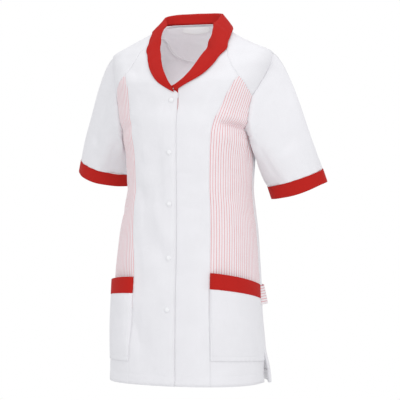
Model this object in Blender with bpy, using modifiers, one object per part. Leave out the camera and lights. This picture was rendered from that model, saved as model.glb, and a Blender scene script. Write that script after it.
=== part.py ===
"""A woman's short-sleeved work tunic, filled out as if worn, in metres.

The origin is at the middle of the neck opening, level with the shoulders.  +Z is up, the front
faces -Y and the wearer's left is +X.  Every cloth piece is an open sheet whose wall comes from
Solidify.  The body pieces are cut from one torso surface by seams that are written as
(angle round the body from the centre front in degrees, height in centimetres).
"""
import math

import bmesh
import bpy
import numpy as np
from mathutils import Vector

# --- driving sizes ------------------------------------------------------------------------
CM = 0.01
WALL = 0.0012                 # plain cloth
DOUBLE_WALL = 0.0016          # collar, cuffs and pocket bands are folded double
SEAM_GAP = 0.0006             # between two pieces, along a seam
HEM = -74.2                   # height of the hem, cm
POCKET_SEAM = -58.5           # the striped side front ends here, behind the pocket
VENT_TOP = -66.6              # the side seam is open below this
OVERLAP = 0.0024              # how far the left front lies behind the right one
SNAP_HEIGHTS = (-15.6, -26.4, -37.0, -48.1, -58.7)
SNAP_RADIUS = 0.0056
SNAP_RISE = 0.0030
CUFF_DEPTH = 2.8
BELT_TOP, BELT_DEPTH = -54.2, 3.8
POCKET_BELLY = 0.0088         # how far the middle of a pocket mouth gapes

WHITE = (0.80, 0.80, 0.83)
RED = (0.62, 0.035, 0.020)
STRIPE_PINK = (0.86, 0.56, 0.58)

# Level sections of the torso, top to bottom, in centimetres.
SECTION_COLUMNS = ("height", "left", "right", "front", "back", "centre", "squareness")
SECTIONS = (
    (4.6, 6.9, 6.9, 3.3, 3.8, 2.2, 2.0),
    (1.3, 6.2, 6.2, 3.0, 2.8, 2.2, 2.0),
    (0.0, 8.2, 8.5, 3.8, 3.1, 2.2, 2.0),
    (-0.9, 9.6, 10.2, 4.6, 3.6, 2.1, 2.0),
    (-3.0, 13.6, 14.5, 6.0, 4.3, 2.0, 2.05),
    (-5.3, 17.9, 18.3, 7.8, 5.1, 2.0, 2.1),
    (-7.0, 17.8, 17.9, 9.0, 6.2, 1.5, 2.1),
    (-9.0, 17.2, 17.2, 10.0, 7.4, 1.0, 2.1),
    (-12.0, 16.4, 16.4, 11.2, 8.9, 0.4, 2.15),
    (-16.0, 15.6, 15.6, 11.2, 9.9, 0.2, 2.2),
    (-21.0, 15.0, 14.7, 12.0, 10.6, 0.0, 2.2),
    (-26.5, 14.3, 13.4, 12.0, 10.6, 0.0, 2.25),
    (-33.4, 13.9, 13.0, 11.8, 10.0, 0.0, 2.3),
    (-38.3, 14.4, 13.8, 11.9, 10.5, 0.0, 2.3),
    (-43.6, 15.0, 14.9, 12.1, 11.0, 0.0, 2.3),
    (-49.4, 15.4, 15.6, 12.4, 11.6, 0.0, 2.3),
    (-58.7, 15.9, 16.2, 13.1, 12.2, 0.0, 2.3),
    (-67.7, 16.6, 16.8, 13.4, 12.6, 0.0, 2.3),
    (-74.2, 16.9, 17.0, 13.5, 12.8, 0.0, 2.3),
)

# The largest folds: soft troughs (below zero) and ridges between two places on the torso.
# Columns: angle and height at each end, width and rise in centimetres.
FOLDS = (
    (36, -20.0, 72, -21.6, 1.5, -0.45),      # under the bust to the left armpit
    (40, -23.6, 66, -24.6, 2.0, 0.35),
    (-36, -20.4, -70, -21.4, 1.5, -0.40),    # and to the right one
    (-28, -34.5, -5, -47.0, 1.8, -0.40),     # waist, slanting to the front edge
    (-22, -33.0, -2, -44.0, 1.6, 0.25),
    (-25, -60.5, -10, -71.0, 2.0, -0.35),    # below the right pocket
    (-9, -26.5, -9, -36.5, 1.8, -0.30),
    (20, -33.0, 24, -47.0, 2.0, -0.22),
    (47, -5.4, 30, -8.4, 1.8, -0.30),        # along the collar, across the left chest
    (30, -8.4, 11, -15.5, 2.2, -0.28),
    (-42, -5.6, -26, -9.4, 1.8, -0.25),
    (128, -26.0, 170, -38.5, 2.4, -0.45),    # the back, drawn in at the waist
    (232, -25.0, 196, -37.0, 2.4, -0.45),
    (150, -48.5, 146, -53.5, 1.8, 0.40),
    (210, -48.0, 214, -53.5, 1.8, 0.40),
    (118, -61.0, 124, -73.0, 2.4, -0.45),
    (176, -60.5, 172, -73.5, 2.6, -0.50),
    (238, -61.0, 232, -72.5, 2.4, -0.40),
)

# Seams on the body, as (angle, height) rows.  The wearer's left and right hang differently.
PRINCESS_SEAM = {
    1: ((28.7, HEM), (29.0, -68.7), (29.4, POCKET_SEAM), (30.2, -50.0), (31.2, -43.0),
        (32.4, -36.0), (32.2, -28.0), (32.2, -23.0), (35.0, -19.6), (39.4, -16.6),
        (46.0, -12.6), (50.5, -10.6)),
    -1: ((29.2, HEM), (28.4, -68.7), (27.2, POCKET_SEAM), (27.8, -50.0), (32.6, -43.0),
         (37.2, -36.0), (37.2, -28.0), (38.2, -23.0), (39.0, -19.6), (38.6, -16.6),
         (39.6, -12.6), (43.5, -9.9)),
}
YOKE_SIDE_SEAM = {
    1: ((50.5, -10.6), (56.9, -11.7), (62.8, -13.0), (71.5, -14.6)),
    -1: ((43.5, -9.9), (51.0, -11.1), (59.0, -12.5), (71.5, -14.6)),
}
YOKE_FRONT_SEAM = {
    1: ((50.5, -10.6), (40.0, -8.1), (33.0, -5.4), (31.0, -3.6), (33.0, -1.9)),
    -1: ((43.5, -9.9), (36.0, -7.7), (30.5, -5.3), (29.0, -3.5), (30.5, -1.9)),
}
SHOULDER_SEAM = ((88.0, -5.3), (76.5, -4.0), (71.0, -2.0), (73.0, -0.4), (84.0, 1.2))
FRONT_ARMHOLE_LOW = ((71.5, -14.6), (70.2, -17.0), (70.4, -19.6), (74.0, -21.7), (81.0, -22.8),
                     (90.0, -23.1))
FRONT_ARMHOLE_HIGH = ((71.5, -14.6), (77.0, -12.9), (84.0, -10.4), (88.5, -7.7), (88.0, -5.3))
BACK_ARMHOLE = ((90.0, -23.1), (99.0, -22.1), (106.0, -19.0), (108.5, -15.2), (106.5, -11.2),
                (100.5, -8.2), (92.0, -6.2), (88.0, -5.3))
SIDE_SEAM = ((90.0, HEM), (90.0, VENT_TOP), (90.0, POCKET_SEAM), (90.0, -40.0), (90.0, -23.1))

# The collar from the centre back to the V: its seam on the neckline, its fold and its edge.
# The neck opening hangs a little towards the wearer's left.
COLLAR_COLUMNS = ("seam_angle", "seam_height", "fold_angle", "fold_height", "fold_out",
                  "edge_angle", "edge_height", "edge_out")
COLLAR_BACK = (180.0, 1.5, 180.0, 4.05, 0.10, 180.0, 0.35, 2.4)
COLLAR = {
    1: ((150.0, 1.5, 150.0, 4.00, 0.15, 148.0, 0.30, 2.4),
        (116.0, 1.4, 115.0, 3.60, 0.10, 112.0, 0.10, 1.35),
        (84.0, 1.20, 88.0, 2.90, -0.10, 86.0, -0.45, 0.65),
        (62.0, 0.75, 64.8, 1.75, 0.38, 65.0, -1.30, 0.75),
        (45.0, -0.30, 44.4, 0.12, 0.50, 47.5, -2.65, 0.55),
        (33.0, -1.90, 32.3, -1.68, 0.46, 35.3, -4.30, 0.42),
        (25.5, -3.50, 21.8, -3.60, 0.46, 28.6, -6.20, 0.36),
        (20.0, -5.40, 16.6, -5.72, 0.46, 26.1, -7.75, 0.35),
        (17.2, -7.50, 14.3, -7.78, 0.57, 22.2, -9.69, 0.34),
        (14.8, -9.40, 11.6, -9.72, 0.52, 16.8, -11.09, 0.33),
        (11.2, -10.90, 7.9, -11.19, 0.40, 9.9, -12.23, 0.32),
        (6.6, -12.20, 4.1, -12.04, 0.32, 5.4, -13.05, 0.32),
        (4.2, -12.75, 2.3, -12.43, 0.31, 3.9, -13.45, 0.31)),
    -1: ((150.0, 1.5, 150.0, 4.00, 0.15, 148.0, 0.30, 2.2),
         (116.0, 1.4, 114.0, 3.50, 0.15, 118.0, 0.20, 1.1),
         (84.0, 1.20, 86.0, 2.80, 0.15, 86.0, -0.02, 0.45),
         (62.0, 0.75, 62.0, 1.70, 0.30, 51.0, -0.95, 0.42),
         (44.0, -0.30, 41.5, 0.20, 0.42, 36.6, -2.30, 0.40),
         (30.5, -1.90, 27.0, -1.55, 0.40, 27.2, -4.00, 0.36),
         (22.5, -3.50, 18.4, -3.20, 0.38, 22.6, -5.60, 0.34),
         (17.0, -5.40, 13.1, -5.10, 0.36, 20.5, -7.10, 0.34),
         (14.4, -7.50, 10.2, -7.22, 0.35, 17.7, -9.08, 0.34),
         (11.6, -9.40, 7.4, -9.21, 0.34, 13.8, -10.53, 0.33),
         (8.2, -10.90, 4.0, -10.80, 0.33, 9.1, -11.83, 0.32),
         (5.0, -12.20, 1.4, -11.91, 0.32, 3.9, -12.90, 0.32),
         (-0.8, -13.35, -0.6, -12.76, 0.31, -2.1, -14.00, 0.31)),
}
# The neckline seam on the body pieces, from the V up to the shoulder seam.
NECKLINE = {side: [row[:2] for row in COLLAR[side][2:-1]][::-1] for side in (1, -1)}

# How many facets each stretch of seam has.  Two pieces that meet there share them.
HEM_STEPS, SIDE_STEPS, ARMPIT_STEPS, BACK_ARM_STEPS = 7, 17, 6, 8
YOKE_STEPS, SIDE_FRONT_ACROSS, FRONT_ACROSS, SHOULDER_ACROSS = 5, 6, 6, 4


def smooth_value(rows, column, at, key=0):
    """Read a table at any height: a cubic through the rows that never overshoots them."""
    keys = [row[key] for row in rows]
    values = [row[column] for row in rows]
    if keys[0] > keys[-1]:
        keys, values = keys[::-1], values[::-1]
    at = min(max(at, keys[0]), keys[-1])
    steps = np.diff(keys)
    slopes = np.diff(values) / steps
    tangents = [slopes[0]]
    for before, after, low, high in zip(slopes[:-1], slopes[1:], steps[:-1], steps[1:]):
        if before * after <= 0:
            tangents.append(0.0)
            continue
        low_weight, high_weight = 2 * high + low, high + 2 * low
        tangents.append((low_weight + high_weight) / (low_weight / before + high_weight / after))
    tangents.append(slopes[-1])
    i = min(int(np.searchsorted(keys, at, side="right")) - 1, len(steps) - 1)
    t = (at - keys[i]) / steps[i]
    return ((2 * t**3 - 3 * t**2 + 1) * values[i] + (t**3 - 2 * t**2 + t) * steps[i] * tangents[i]
            + (3 * t**2 - 2 * t**3) * values[i + 1] + (t**3 - t**2) * steps[i] * tangents[i + 1])


def bare_torso(angle, height):
    """A point of the torso surface without its folds."""
    left, right, front, back, centre, squareness = (
        smooth_value(SECTIONS, SECTION_COLUMNS.index(name), height)
        for name in SECTION_COLUMNS[1:])
    sine, cosine = math.sin(math.radians(angle)), math.cos(math.radians(angle))
    half_width = left if sine > 0 else right
    depth = front if cosine > 0 else back
    power = 2 / squareness
    return Vector((half_width * math.copysign(abs(sine) ** power, sine),
                   centre - depth * math.copysign(abs(cosine) ** power, cosine),
                   height)) * CM


def outward(angle, height):
    """The direction straight out of the torso surface."""
    around = bare_torso(angle + 0.6, height) - bare_torso(angle - 0.6, height)
    upwards = bare_torso(angle, height + 0.15) - bare_torso(angle, height - 0.15)
    return around.cross(upwards).normalized()


FOLD_ENDS = [(bare_torso(row[0], row[1]), bare_torso(row[2], row[3]), row[4] * CM, row[5] * CM)
             for row in FOLDS]


def fold_rise(point):
    """How far the folds lift or sink the cloth at this point."""
    rise = 0.0
    for start, end, width, height in FOLD_ENDS:
        run = end - start
        along = min(max((point - start).dot(run) / run.length_squared, 0.0), 1.0)
        away = (point - start - run * along).length
        rise += height * math.exp(-(away / width) ** 2)
    return rise


def on_torso(angle, height, out=0.0):
    """A point of the worn cloth, moved out of it by a distance in metres."""
    point = bare_torso(angle, height)
    return point + outward(angle, height) * (out + fold_rise(point))


def stations(rows, count, side=1, spread=None):
    """Split a seam into equal steps, as (angle, height) places along its smooth curve."""
    lengths = [0.0]
    for before, after in zip(rows[:-1], rows[1:]):
        lengths.append(lengths[-1] + (bare_torso(*after) - bare_torso(*before)).length)
    table = [(length, row[0], row[1]) for length, row in zip(lengths, rows)]
    places = []
    for step in range(count + 1):
        at = (spread(step / count) if spread else step / count) * lengths[-1]
        places.append((side * smooth_value(table, 1, at), smooth_value(table, 2, at)))
    return places


def cloth_material(name, colour, roughness=0.85):
    material = bpy.data.materials.new(name)
    material.use_nodes = True
    shader = material.node_tree.nodes["Principled BSDF"]
    shader.inputs["Base Color"].default_value = (*colour, 1.0)
    shader.inputs["Roughness"].default_value = roughness
    shader.inputs["Metallic"].default_value = 0.0
    return material


def add_piece(name, mesh_work, colour, wall=None, roughness=0.85):
    """Turn a bmesh into a named object of the tunic, with its material and its wall."""
    mesh = bpy.data.meshes.new(name)
    mesh_work.to_mesh(mesh)
    mesh_work.free()
    mesh.materials.append(cloth_material(name, colour, roughness))
    piece = bpy.data.objects.new(name, mesh)
    tunic.objects.link(piece)
    if wall:
        solidify = piece.modifiers.new("wall", "SOLIDIFY")
        solidify.thickness = wall
        solidify.offset = 0.0
    mesh.shade_smooth()
    return piece


def pull_in_borders(grid, gap):
    """Draw each border of a grid of points half a seam gap towards its own piece."""
    moved = [list(row) for row in grid]
    for j, row in enumerate(grid):
        for edge, inner in ((0, 1), (-1, -2)):
            moved[j][edge] = moved[j][edge] + (row[inner] - row[edge]).normalized() * gap / 2
    for i in range(len(grid[0])):
        for edge, inner in ((0, 1), (-1, -2)):
            pull = (grid[inner][i] - grid[edge][i]).normalized() * gap / 2
            moved[edge][i] = moved[edge][i] + pull
    return moved


def cloth_from_points(name, grid, colour, wall=WALL, gap=SEAM_GAP, flip=False):
    """A sheet of cloth through rows of points, its front face away from the wearer."""
    if gap:
        grid = pull_in_borders(grid, gap)
    rows, columns = len(grid) - 1, len(grid[0]) - 1
    work = bmesh.new()
    bmesh.ops.create_grid(work, x_segments=columns, y_segments=rows, size=0.5)
    for vertex in work.verts:
        i = round((vertex.co.x + 0.5) * columns)
        j = round((vertex.co.y + 0.5) * rows)
        vertex.co = grid[j][i]
    if flip:
        bmesh.ops.reverse_faces(work, faces=work.faces)
    return add_piece(name, work, colour, wall)


def patch_places(left, right, bottom, top):
    """Fill four seams with (angle, height) places, each blended from all of them."""
    rows, columns = len(left) - 1, len(bottom) - 1
    places = []
    for j in range(rows + 1):
        v = j / rows
        row = []
        for i in range(columns + 1):
            u = i / columns
            row.append(tuple(
                (1 - u) * left[j][k] + u * right[j][k] + (1 - v) * bottom[i][k] + v * top[i][k]
                - (1 - u) * (1 - v) * left[0][k] - u * (1 - v) * right[0][k]
                - (1 - u) * v * left[-1][k] - u * v * right[-1][k] for k in (0, 1)))
        places.append(row)
    return places


def body_panel(name, seams, colour, side=1, out=None, wall=WALL):
    """A body piece between its left, right, bottom and top seams."""
    grid = [[on_torso(angle, height, out(angle, height) if out else 0.0)
             for angle, height in row] for row in patch_places(*seams)]
    return cloth_from_points(name, grid, colour, wall, flip=side < 0)


def between(start, end, count):
    """Places on the straight line between two (angle, height) places."""
    return [tuple(a + (b - a) * step / count for a, b in zip(start, end))
            for step in range(count + 1)]


def ease(value):
    """Zero below 0, one above 1 and smooth between."""
    value = min(max(value, 0.0), 1.0)
    return value * value * (3 - 2 * value)


def angle_at(half, height):
    """The angle of the place that lies this many centimetres to the left of the centre."""
    width = smooth_value(SECTIONS, 1, height)
    squareness = smooth_value(SECTIONS, 6, height)
    return math.degrees(math.asin(math.copysign((abs(half) / width) ** (squareness / 2), half)))


def front_panel(side):
    """A centre front.  The right one laps over the left one along the front edge."""
    edge = 1 if side < 0 else -1               # each edge lies past the centre line
    rows = HEM_STEPS + SIDE_STEPS + ARMPIT_STEPS + YOKE_STEPS
    outer = (stations(PRINCESS_SEAM[side][:3], HEM_STEPS, side)
             + stations(PRINCESS_SEAM[side][2:], SIDE_STEPS + ARMPIT_STEPS, side)[1:]
             + stations(YOKE_FRONT_SEAM[side], YOKE_STEPS, side)[1:])
    straight = rows - 9
    inner = [(angle_at(edge * (1.7 - 0.4 * step / straight), HEM + (58.8 * step) / straight),
              HEM + 58.8 * step / straight) for step in range(straight + 1)]
    bend = [inner[-1], (edge * 4.2, -14.5), (edge * 2.2, -13.7), (-edge * 2.0, -13.2)]
    bend += [(side * angle, height) for angle, height in NECKLINE[side][:3]]
    inner += stations(bend, rows - straight)[1:]
    top = stations(NECKLINE[side][2:7], FRONT_ACROSS, side)
    bottom = between(inner[0], outer[0], FRONT_ACROSS)
    if side > 0:
        def behind(angle, height):
            past = angle_at(4.6, height) - abs(angle) if angle > 0 else 1e3
            reach = angle_at(4.6, height) - angle_at(2.0, height)
            return -OVERLAP * ease(past / reach)
        seams = (inner, outer, bottom, top)
        return body_panel("front_left", seams, WHITE, 1, behind)
    return body_panel("front_right", (inner, outer, bottom, top), WHITE, -1)


def yoke_panel(side):
    """The front shoulder, between the collar, the shoulder seam and the armhole."""
    word = "left" if side > 0 else "right"
    seam = (stations(YOKE_FRONT_SEAM[side], YOKE_STEPS, side)[::-1]
            + stations(YOKE_SIDE_SEAM[side], SIDE_FRONT_ACROSS, side)[1:])
    shoulder = stations(SHOULDER_SEAM, YOKE_STEPS + SIDE_FRONT_ACROSS, side)[::-1]
    neck = stations(NECKLINE[side][6:], SHOULDER_ACROSS, side)
    armhole = stations(FRONT_ARMHOLE_HIGH, SHOULDER_ACROSS, side)
    places = (neck, armhole, seam, shoulder)
    return body_panel("yoke_" + word, places, WHITE, side)


def side_outer(side):
    """The side seam and the lower front armhole, from the hem up to the yoke."""
    low = stations(SIDE_SEAM[:3], HEM_STEPS, side)
    middle = stations(SIDE_SEAM[2:], SIDE_STEPS, side)
    armhole = stations(FRONT_ARMHOLE_LOW, ARMPIT_STEPS, side)[::-1]
    return low, middle, armhole


def side_front_panels(side):
    """The striped side front, and the white piece that goes on below it."""
    word = "left" if side > 0 else "right"
    low, middle, armhole = side_outer(side)
    inner_low = stations(PRINCESS_SEAM[side][:3], HEM_STEPS, side)
    inner_high = stations(PRINCESS_SEAM[side][2:], SIDE_STEPS + ARMPIT_STEPS, side)
    seam = between(inner_low[-1], low[-1], SIDE_FRONT_ACROSS)
    top = stations(YOKE_SIDE_SEAM[side], SIDE_FRONT_ACROSS, side)
    body_panel("side_front_" + word, (inner_high, middle + armhole[1:], seam, top),
               STRIPE_PINK, side)
    hem = between(inner_low[0], low[0], SIDE_FRONT_ACROSS)

    def tucked(angle, height):
        near_side = ease((abs(angle) - 68) / 22)
        return -0.003 * near_side * ease((VENT_TOP - height) / 7)
    body_panel("lower_side_" + word, (inner_low, low, hem, seam), WHITE, side, tucked)


def back_panel():
    """The whole back, from side seam to side seam and up to both shoulder seams."""
    sides = []
    for side in (1, -1):
        low = stations(SIDE_SEAM[:3], HEM_STEPS)
        middle = stations(SIDE_SEAM[2:], SIDE_STEPS)
        armhole = stations(BACK_ARMHOLE, BACK_ARM_STEPS)
        shoulder = stations(SHOULDER_SEAM, YOKE_STEPS + SIDE_FRONT_ACROSS)
        run = low + middle[1:] + armhole[1:] + shoulder[1:]
        sides.append([(180 - side * (180 - angle), height) for angle, height in run])
    across = 15
    hem = between(sides[0][0], sides[1][0], across)
    neck = [(angle, height + 0.25 * math.sin(math.pi * i / across))
            for i, (angle, height) in enumerate(between(sides[0][-1], sides[1][-1], across))]

    def flared(angle, height):
        near_side = ease((abs(angle - 180) - 74) / 16)
        return 0.0105 * near_side * ease((VENT_TOP - height) / 6)
    return body_panel("back", (sides[0], sides[1], hem, neck), WHITE, 1, flared)


# The sleeve runs from the armhole to a tilted oval at the top of the cuff, in centimetres.
CUFF_END = {1: (22.5, 6.0, -34.1), -1: (-21.85, 6.0, -31.2)}
ARMHOLE_MIDDLE = (16.5, 1.5, -13.0)
CUFF_HALF_WIDTH, CUFF_HALF_DEPTH = 6.15, 5.2
SLEEVE_ROWS = 11
UNDERARM = 140                 # where round the sleeve it hangs in front of the side seam
UNDERARM_CLEAR = {1: 0.005, -1: 0.0015}   # how far it stands off the body there
LEAVES_IN, LEAVES_FORWARD = 0.35, 0.9     # how it leans in and forward below the armpit,
ARRIVES_OUT, ARRIVES_BACK = 0.4, 0.2      # and out and back again at the cuff
# Soft troughs down the sleeve: where round the sleeve (0 top, 90 front), from and to along it.
SLEEVE_FOLDS = ((60, 0.10, 0.75, 20, -0.35), (120, 0.25, 1.0, 22, -0.30), (95, 0.45, 1.0, 15, 0.20),
                (285, 0.15, 0.80, 24, -0.35), (235, 0.30, 1.0, 20, -0.25))


def cuff_frame(side):
    """The end of the sleeve: its middle, its axis, and its outward and forward directions."""
    end = Vector(CUFF_END[side]) * CM
    start = Vector((side * ARMHOLE_MIDDLE[0], ARMHOLE_MIDDLE[1], ARMHOLE_MIDDLE[2])) * CM
    axis = (end - start).normalized()
    sideways = Vector((side, 0, 0.08))
    sideways = (sideways - axis * sideways.dot(axis)).normalized()
    forward = sideways.cross(axis) * side
    if forward.y > 0:
        forward = -forward
    return end, axis, sideways, forward


def armhole_ring(side):
    """The armhole, once round: down the front, up the back and over the shoulder."""
    low = stations(FRONT_ARMHOLE_LOW, ARMPIT_STEPS)
    rear = stations(BACK_ARMHOLE, BACK_ARM_STEPS)
    high = stations(FRONT_ARMHOLE_HIGH, SHOULDER_ACROSS)[::-1]
    ring = low + rear[1:] + high[1:-1]
    return [on_torso(side * angle, height) for angle, height in ring]


def sleeve_turn(index):
    """How far round the sleeve a point of the armhole ring is: 0 top, 90 front, 270 back."""
    if index <= ARMPIT_STEPS:
        return 68 + 112 * index / ARMPIT_STEPS
    index -= ARMPIT_STEPS
    if index <= BACK_ARM_STEPS:
        return 180 + 180 * index / BACK_ARM_STEPS
    return 360 + 68 * (index - BACK_ARM_STEPS) / SHOULDER_ACROSS


def cuff_point(side, turn, along, swell=0.0):
    """A point of the cuff tube, with along in metres up from its end."""
    end, axis, sideways, forward = cuff_frame(side)
    angle = math.radians(turn)
    return (end - axis * along + sideways * math.cos(angle) * (CUFF_HALF_WIDTH * CM + swell)
            + forward * math.sin(angle) * (CUFF_HALF_DEPTH * CM + swell))


def sleeve_point(side, root, turn, t, swell=0.0):
    """A point of the sleeve: t runs from the armhole to the cuff."""
    end, axis, sideways, forward = cuff_frame(side)
    cuff_top = cuff_point(side, turn, CUFF_DEPTH * CM)
    reach = (cuff_top - root).length
    topness = 0.5 + 0.5 * math.cos(math.radians(turn))
    # Below the armpit the cloth hangs forward, in front of the side seam, before it turns out.
    under = max(math.cos(math.radians(turn - UNDERARM)), 0.0) ** 2
    leave = (axis * (1.0 - 0.45 * topness) + sideways * (0.35 + 0.35 * topness - LEAVES_IN * under)
             + forward * LEAVES_FORWARD * under).normalized()
    leave *= reach * (0.55 - 0.15 * topness)
    arrive = (axis + (sideways * ARRIVES_OUT - forward * ARRIVES_BACK) * under).normalized()
    arrive *= reach * 0.9
    point = (root * (2 * t**3 - 3 * t**2 + 1) + leave * (t**3 - 2 * t**2 + t)
             + cuff_top * (3 * t**2 - 2 * t**3) + arrive * (t**3 - t**2))
    middle = Vector(ARMHOLE_MIDDLE) * CM
    middle.x *= side
    centre = middle.lerp(end - axis * CUFF_DEPTH * CM, t)
    rise = swell
    for where, begin, finish, spread, height in SLEEVE_FOLDS:
        around = ((turn - where + 180) % 360 - 180) / spread
        fade = ease((t - begin) / 0.15) * (1 - ease((t - finish + 0.1) / 0.1 if finish < 1 else 0))
        rise += height * CM * fade * math.exp(-around ** 2)
    out = point - centre
    out -= axis * out.dot(axis)
    clear = (sideways + forward * 0.4) * (UNDERARM_CLEAR[side] * under * ease(t / 0.08) * (1 - t))
    return point + out.normalized() * rise + clear


def tube(name, rings, colour, wall, flip):
    """A closed tube of cloth through rings of points."""
    rows, columns = len(rings) - 1, len(rings[0])
    work = bmesh.new()
    bmesh.ops.create_grid(work, x_segments=columns, y_segments=rows, size=0.5)
    for vertex in work.verts:
        i = round((vertex.co.x + 0.5) * columns) % columns
        j = round((vertex.co.y + 0.5) * rows)
        vertex.co = rings[j][i]
    bmesh.ops.remove_doubles(work, verts=work.verts, dist=0.00002)
    if flip:
        bmesh.ops.reverse_faces(work, faces=work.faces)
    return add_piece(name, work, colour, wall)


def sleeve_and_cuff(side):
    """A set-in half sleeve, and the folded red band at its end."""
    word = "left" if side > 0 else "right"
    ring = armhole_ring(side)
    turns = [sleeve_turn(index) for index in range(len(ring))]
    rings = []
    for row in range(SLEEVE_ROWS + 1):
        t = row / SLEEVE_ROWS
        rings.append([sleeve_point(side, root, turn, t) for root, turn in zip(ring, turns)])
    set_in = [0.0018 - 0.0005 * math.cos(math.radians(turn)) for turn in turns]
    rings[0] = [point + (after - point).normalized() * clear
                for point, after, clear in zip(rings[0], rings[1], set_in)]
    rings[-1] = [point + (before - point).normalized() * SEAM_GAP / 2
                 for point, before in zip(rings[-1], rings[-2])]
    tube("sleeve_" + word, rings, WHITE, WALL, side > 0)
    bands = []
    for along in (CUFF_DEPTH * CM - SEAM_GAP, CUFF_DEPTH * CM / 2, 0.0):
        bands.append([cuff_point(side, turn, along, 0.0005) for turn in turns])
    tube("cuff_" + word, bands, RED, DOUBLE_WALL, side > 0)


def collar_section(row, side):
    """Points across the collar: up its stand, over the fold, and down to its outer edge."""
    values = dict(zip(COLLAR_COLUMNS, row))
    seam = on_torso(side * values["seam_angle"], values["seam_height"], -0.0004)
    fold = on_torso(side * values["fold_angle"], values["fold_height"], values["fold_out"] * CM)
    edge = on_torso(side * values["edge_angle"], values["edge_height"], values["edge_out"] * CM)
    outwards = (edge - fold).normalized()
    stand = fold - seam
    lift = (stand - outwards * stand.dot(outwards)).normalized()
    turn = min(0.0022, stand.length * 0.32)     # half the gap inside the fold
    base = seam + stand.normalized() * 0.0027
    inner_top = fold - outwards * turn * 0.2 - lift * turn * 1.6
    crest = fold + outwards * turn * 0.9 + lift * turn * 0.1
    outer_top = fold + outwards * turn * 2.6 - lift * turn * 0.5
    points = [base, base.lerp(inner_top, 0.5), inner_top, fold, crest, outer_top]
    sag = lift * 0.0012
    points += [outer_top.lerp(edge, 0.5) + sag, edge]
    return points


def collar():
    """The shawl collar in one piece, from the right end at the V round to the left end."""
    grid = [collar_section(row, -1) for row in reversed(COLLAR[-1])]
    grid += [collar_section(row, 1) for row in (COLLAR_BACK,) + COLLAR[1]]
    cloth_from_points("collar", grid, RED, DOUBLE_WALL, gap=0, flip=True)


# The facing's lower edge: degrees from the centre back, and height.
FACING_EDGE = ((0.0, -6.25), (7.0, -6.0), (14.5, -5.2), (24.5, -3.5), (37.0, -1.7), (52.0, -0.9),
               (72.0, -0.65), (95.5, -0.7))


def neck_facing():
    """The white facing that hangs inside the back neck, deepest at the centre."""
    steps, rows = 20, 8
    grid = []
    for row in range(rows + 1):
        places = []
        for step in range(steps + 1):
            angle = 84.5 + 191 * step / steps
            middle = math.sin(math.pi * step / steps)
            low = smooth_value(FACING_EDGE, 1, abs(angle - 180))
            high = 0.95 + 0.25 * middle
            height = low + (high - low) * row / rows
            places.append(on_torso(angle, height, -0.0036 + 0.0014 * (row / rows) ** 3))
        grid.append(places)
    cloth_from_points("back_neck_facing", grid, WHITE, WALL, gap=0)


def neck_label():
    """The plain half-moon label inside the back neck."""
    steps = 10
    grid = []
    for row in range(3):
        places = []
        for step in range(steps + 1):
            along = step / steps * 2 - 1
            drop = 1.15 * math.sqrt(max(1 - along ** 2, 0.0)) + 0.12
            places.append(on_torso(180 + 28 * along, 1.05 - drop * (1 - row / 2), -0.0048))
        grid.append(places)
    cloth_from_points("neck_label", grid, WHITE, 0.0010, gap=0)


# The top of the band, the top of the pocket and its bottom, all at the princess seam.
POCKET_HEIGHTS = {1: (-51.2, -54.4, -69.0), -1: (-52.2, -55.5, -69.6)}


def pocket(side):
    """A patch pocket with its red band, gaping a little at the middle of its mouth."""
    word = "left" if side > 0 else "right"
    seam = [(smooth_value([(h, a) for a, h in PRINCESS_SEAM[side]], 1, height), height)
            for height in POCKET_HEIGHTS[side]]
    far = ((89.4, -53.9), (89.4, -56.7), (89.0, -69.7))
    across = 8

    def lifted(part, u):
        return 0.0017 + POCKET_BELLY * math.sin(math.pi * u ** 0.45) ** 0.8 * (1 - part ** 1.6)

    def places(start, end, part, rise):
        row = []
        for i in range(across + 1):
            u = i / across
            angle = start[0] + 0.4 + (end[0] - start[0] - 0.4) * u
            height = start[1] + (end[1] - start[1]) * u ** 1.25
            row.append(on_torso(side * angle, height, lifted(part, u) + rise))
        return row
    rows = 7
    body = []
    for j in range(rows + 1):
        part = 1 - j / rows
        start = [a + (b - a) * part for a, b in zip(seam[1], seam[2])]
        end = [a + (b - a) * part for a, b in zip(far[1], far[2])]
        body.append(places(start, end, part, 0.0))
    cloth_from_points("pocket_" + word, body, WHITE, WALL, flip=side < 0)
    band = []
    for part in (1.0, 0.5, 0.0):
        start = [a + (b - a) * part for a, b in zip(seam[0], seam[1])]
        end = [a + (b - a) * part for a, b in zip(far[0], far[1])]
        band.append(places(start, end, 0.0, 0.0003))
    cloth_from_points("pocket_band_" + word, band, RED, DOUBLE_WALL, flip=side < 0)


def back_belt():
    """The striped half belt, sewn into both side seams and standing off along its lower edge."""
    steps = 16
    grid = []
    for row in range(4):
        part = 1 - row / 3
        places = []
        for step in range(steps + 1):
            u = step / steps
            angle = 91.5 + (268.5 - 91.5) * u
            stand = ease(min(u, 1 - u) / 0.06)
            out = 0.0017 + stand * (0.0012 + 0.0062 * part)
            places.append(on_torso(angle, BELT_TOP - BELT_DEPTH * part, out))
        grid.append(places)
    cloth_from_points("back_belt", grid, STRIPE_PINK, DOUBLE_WALL)


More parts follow.
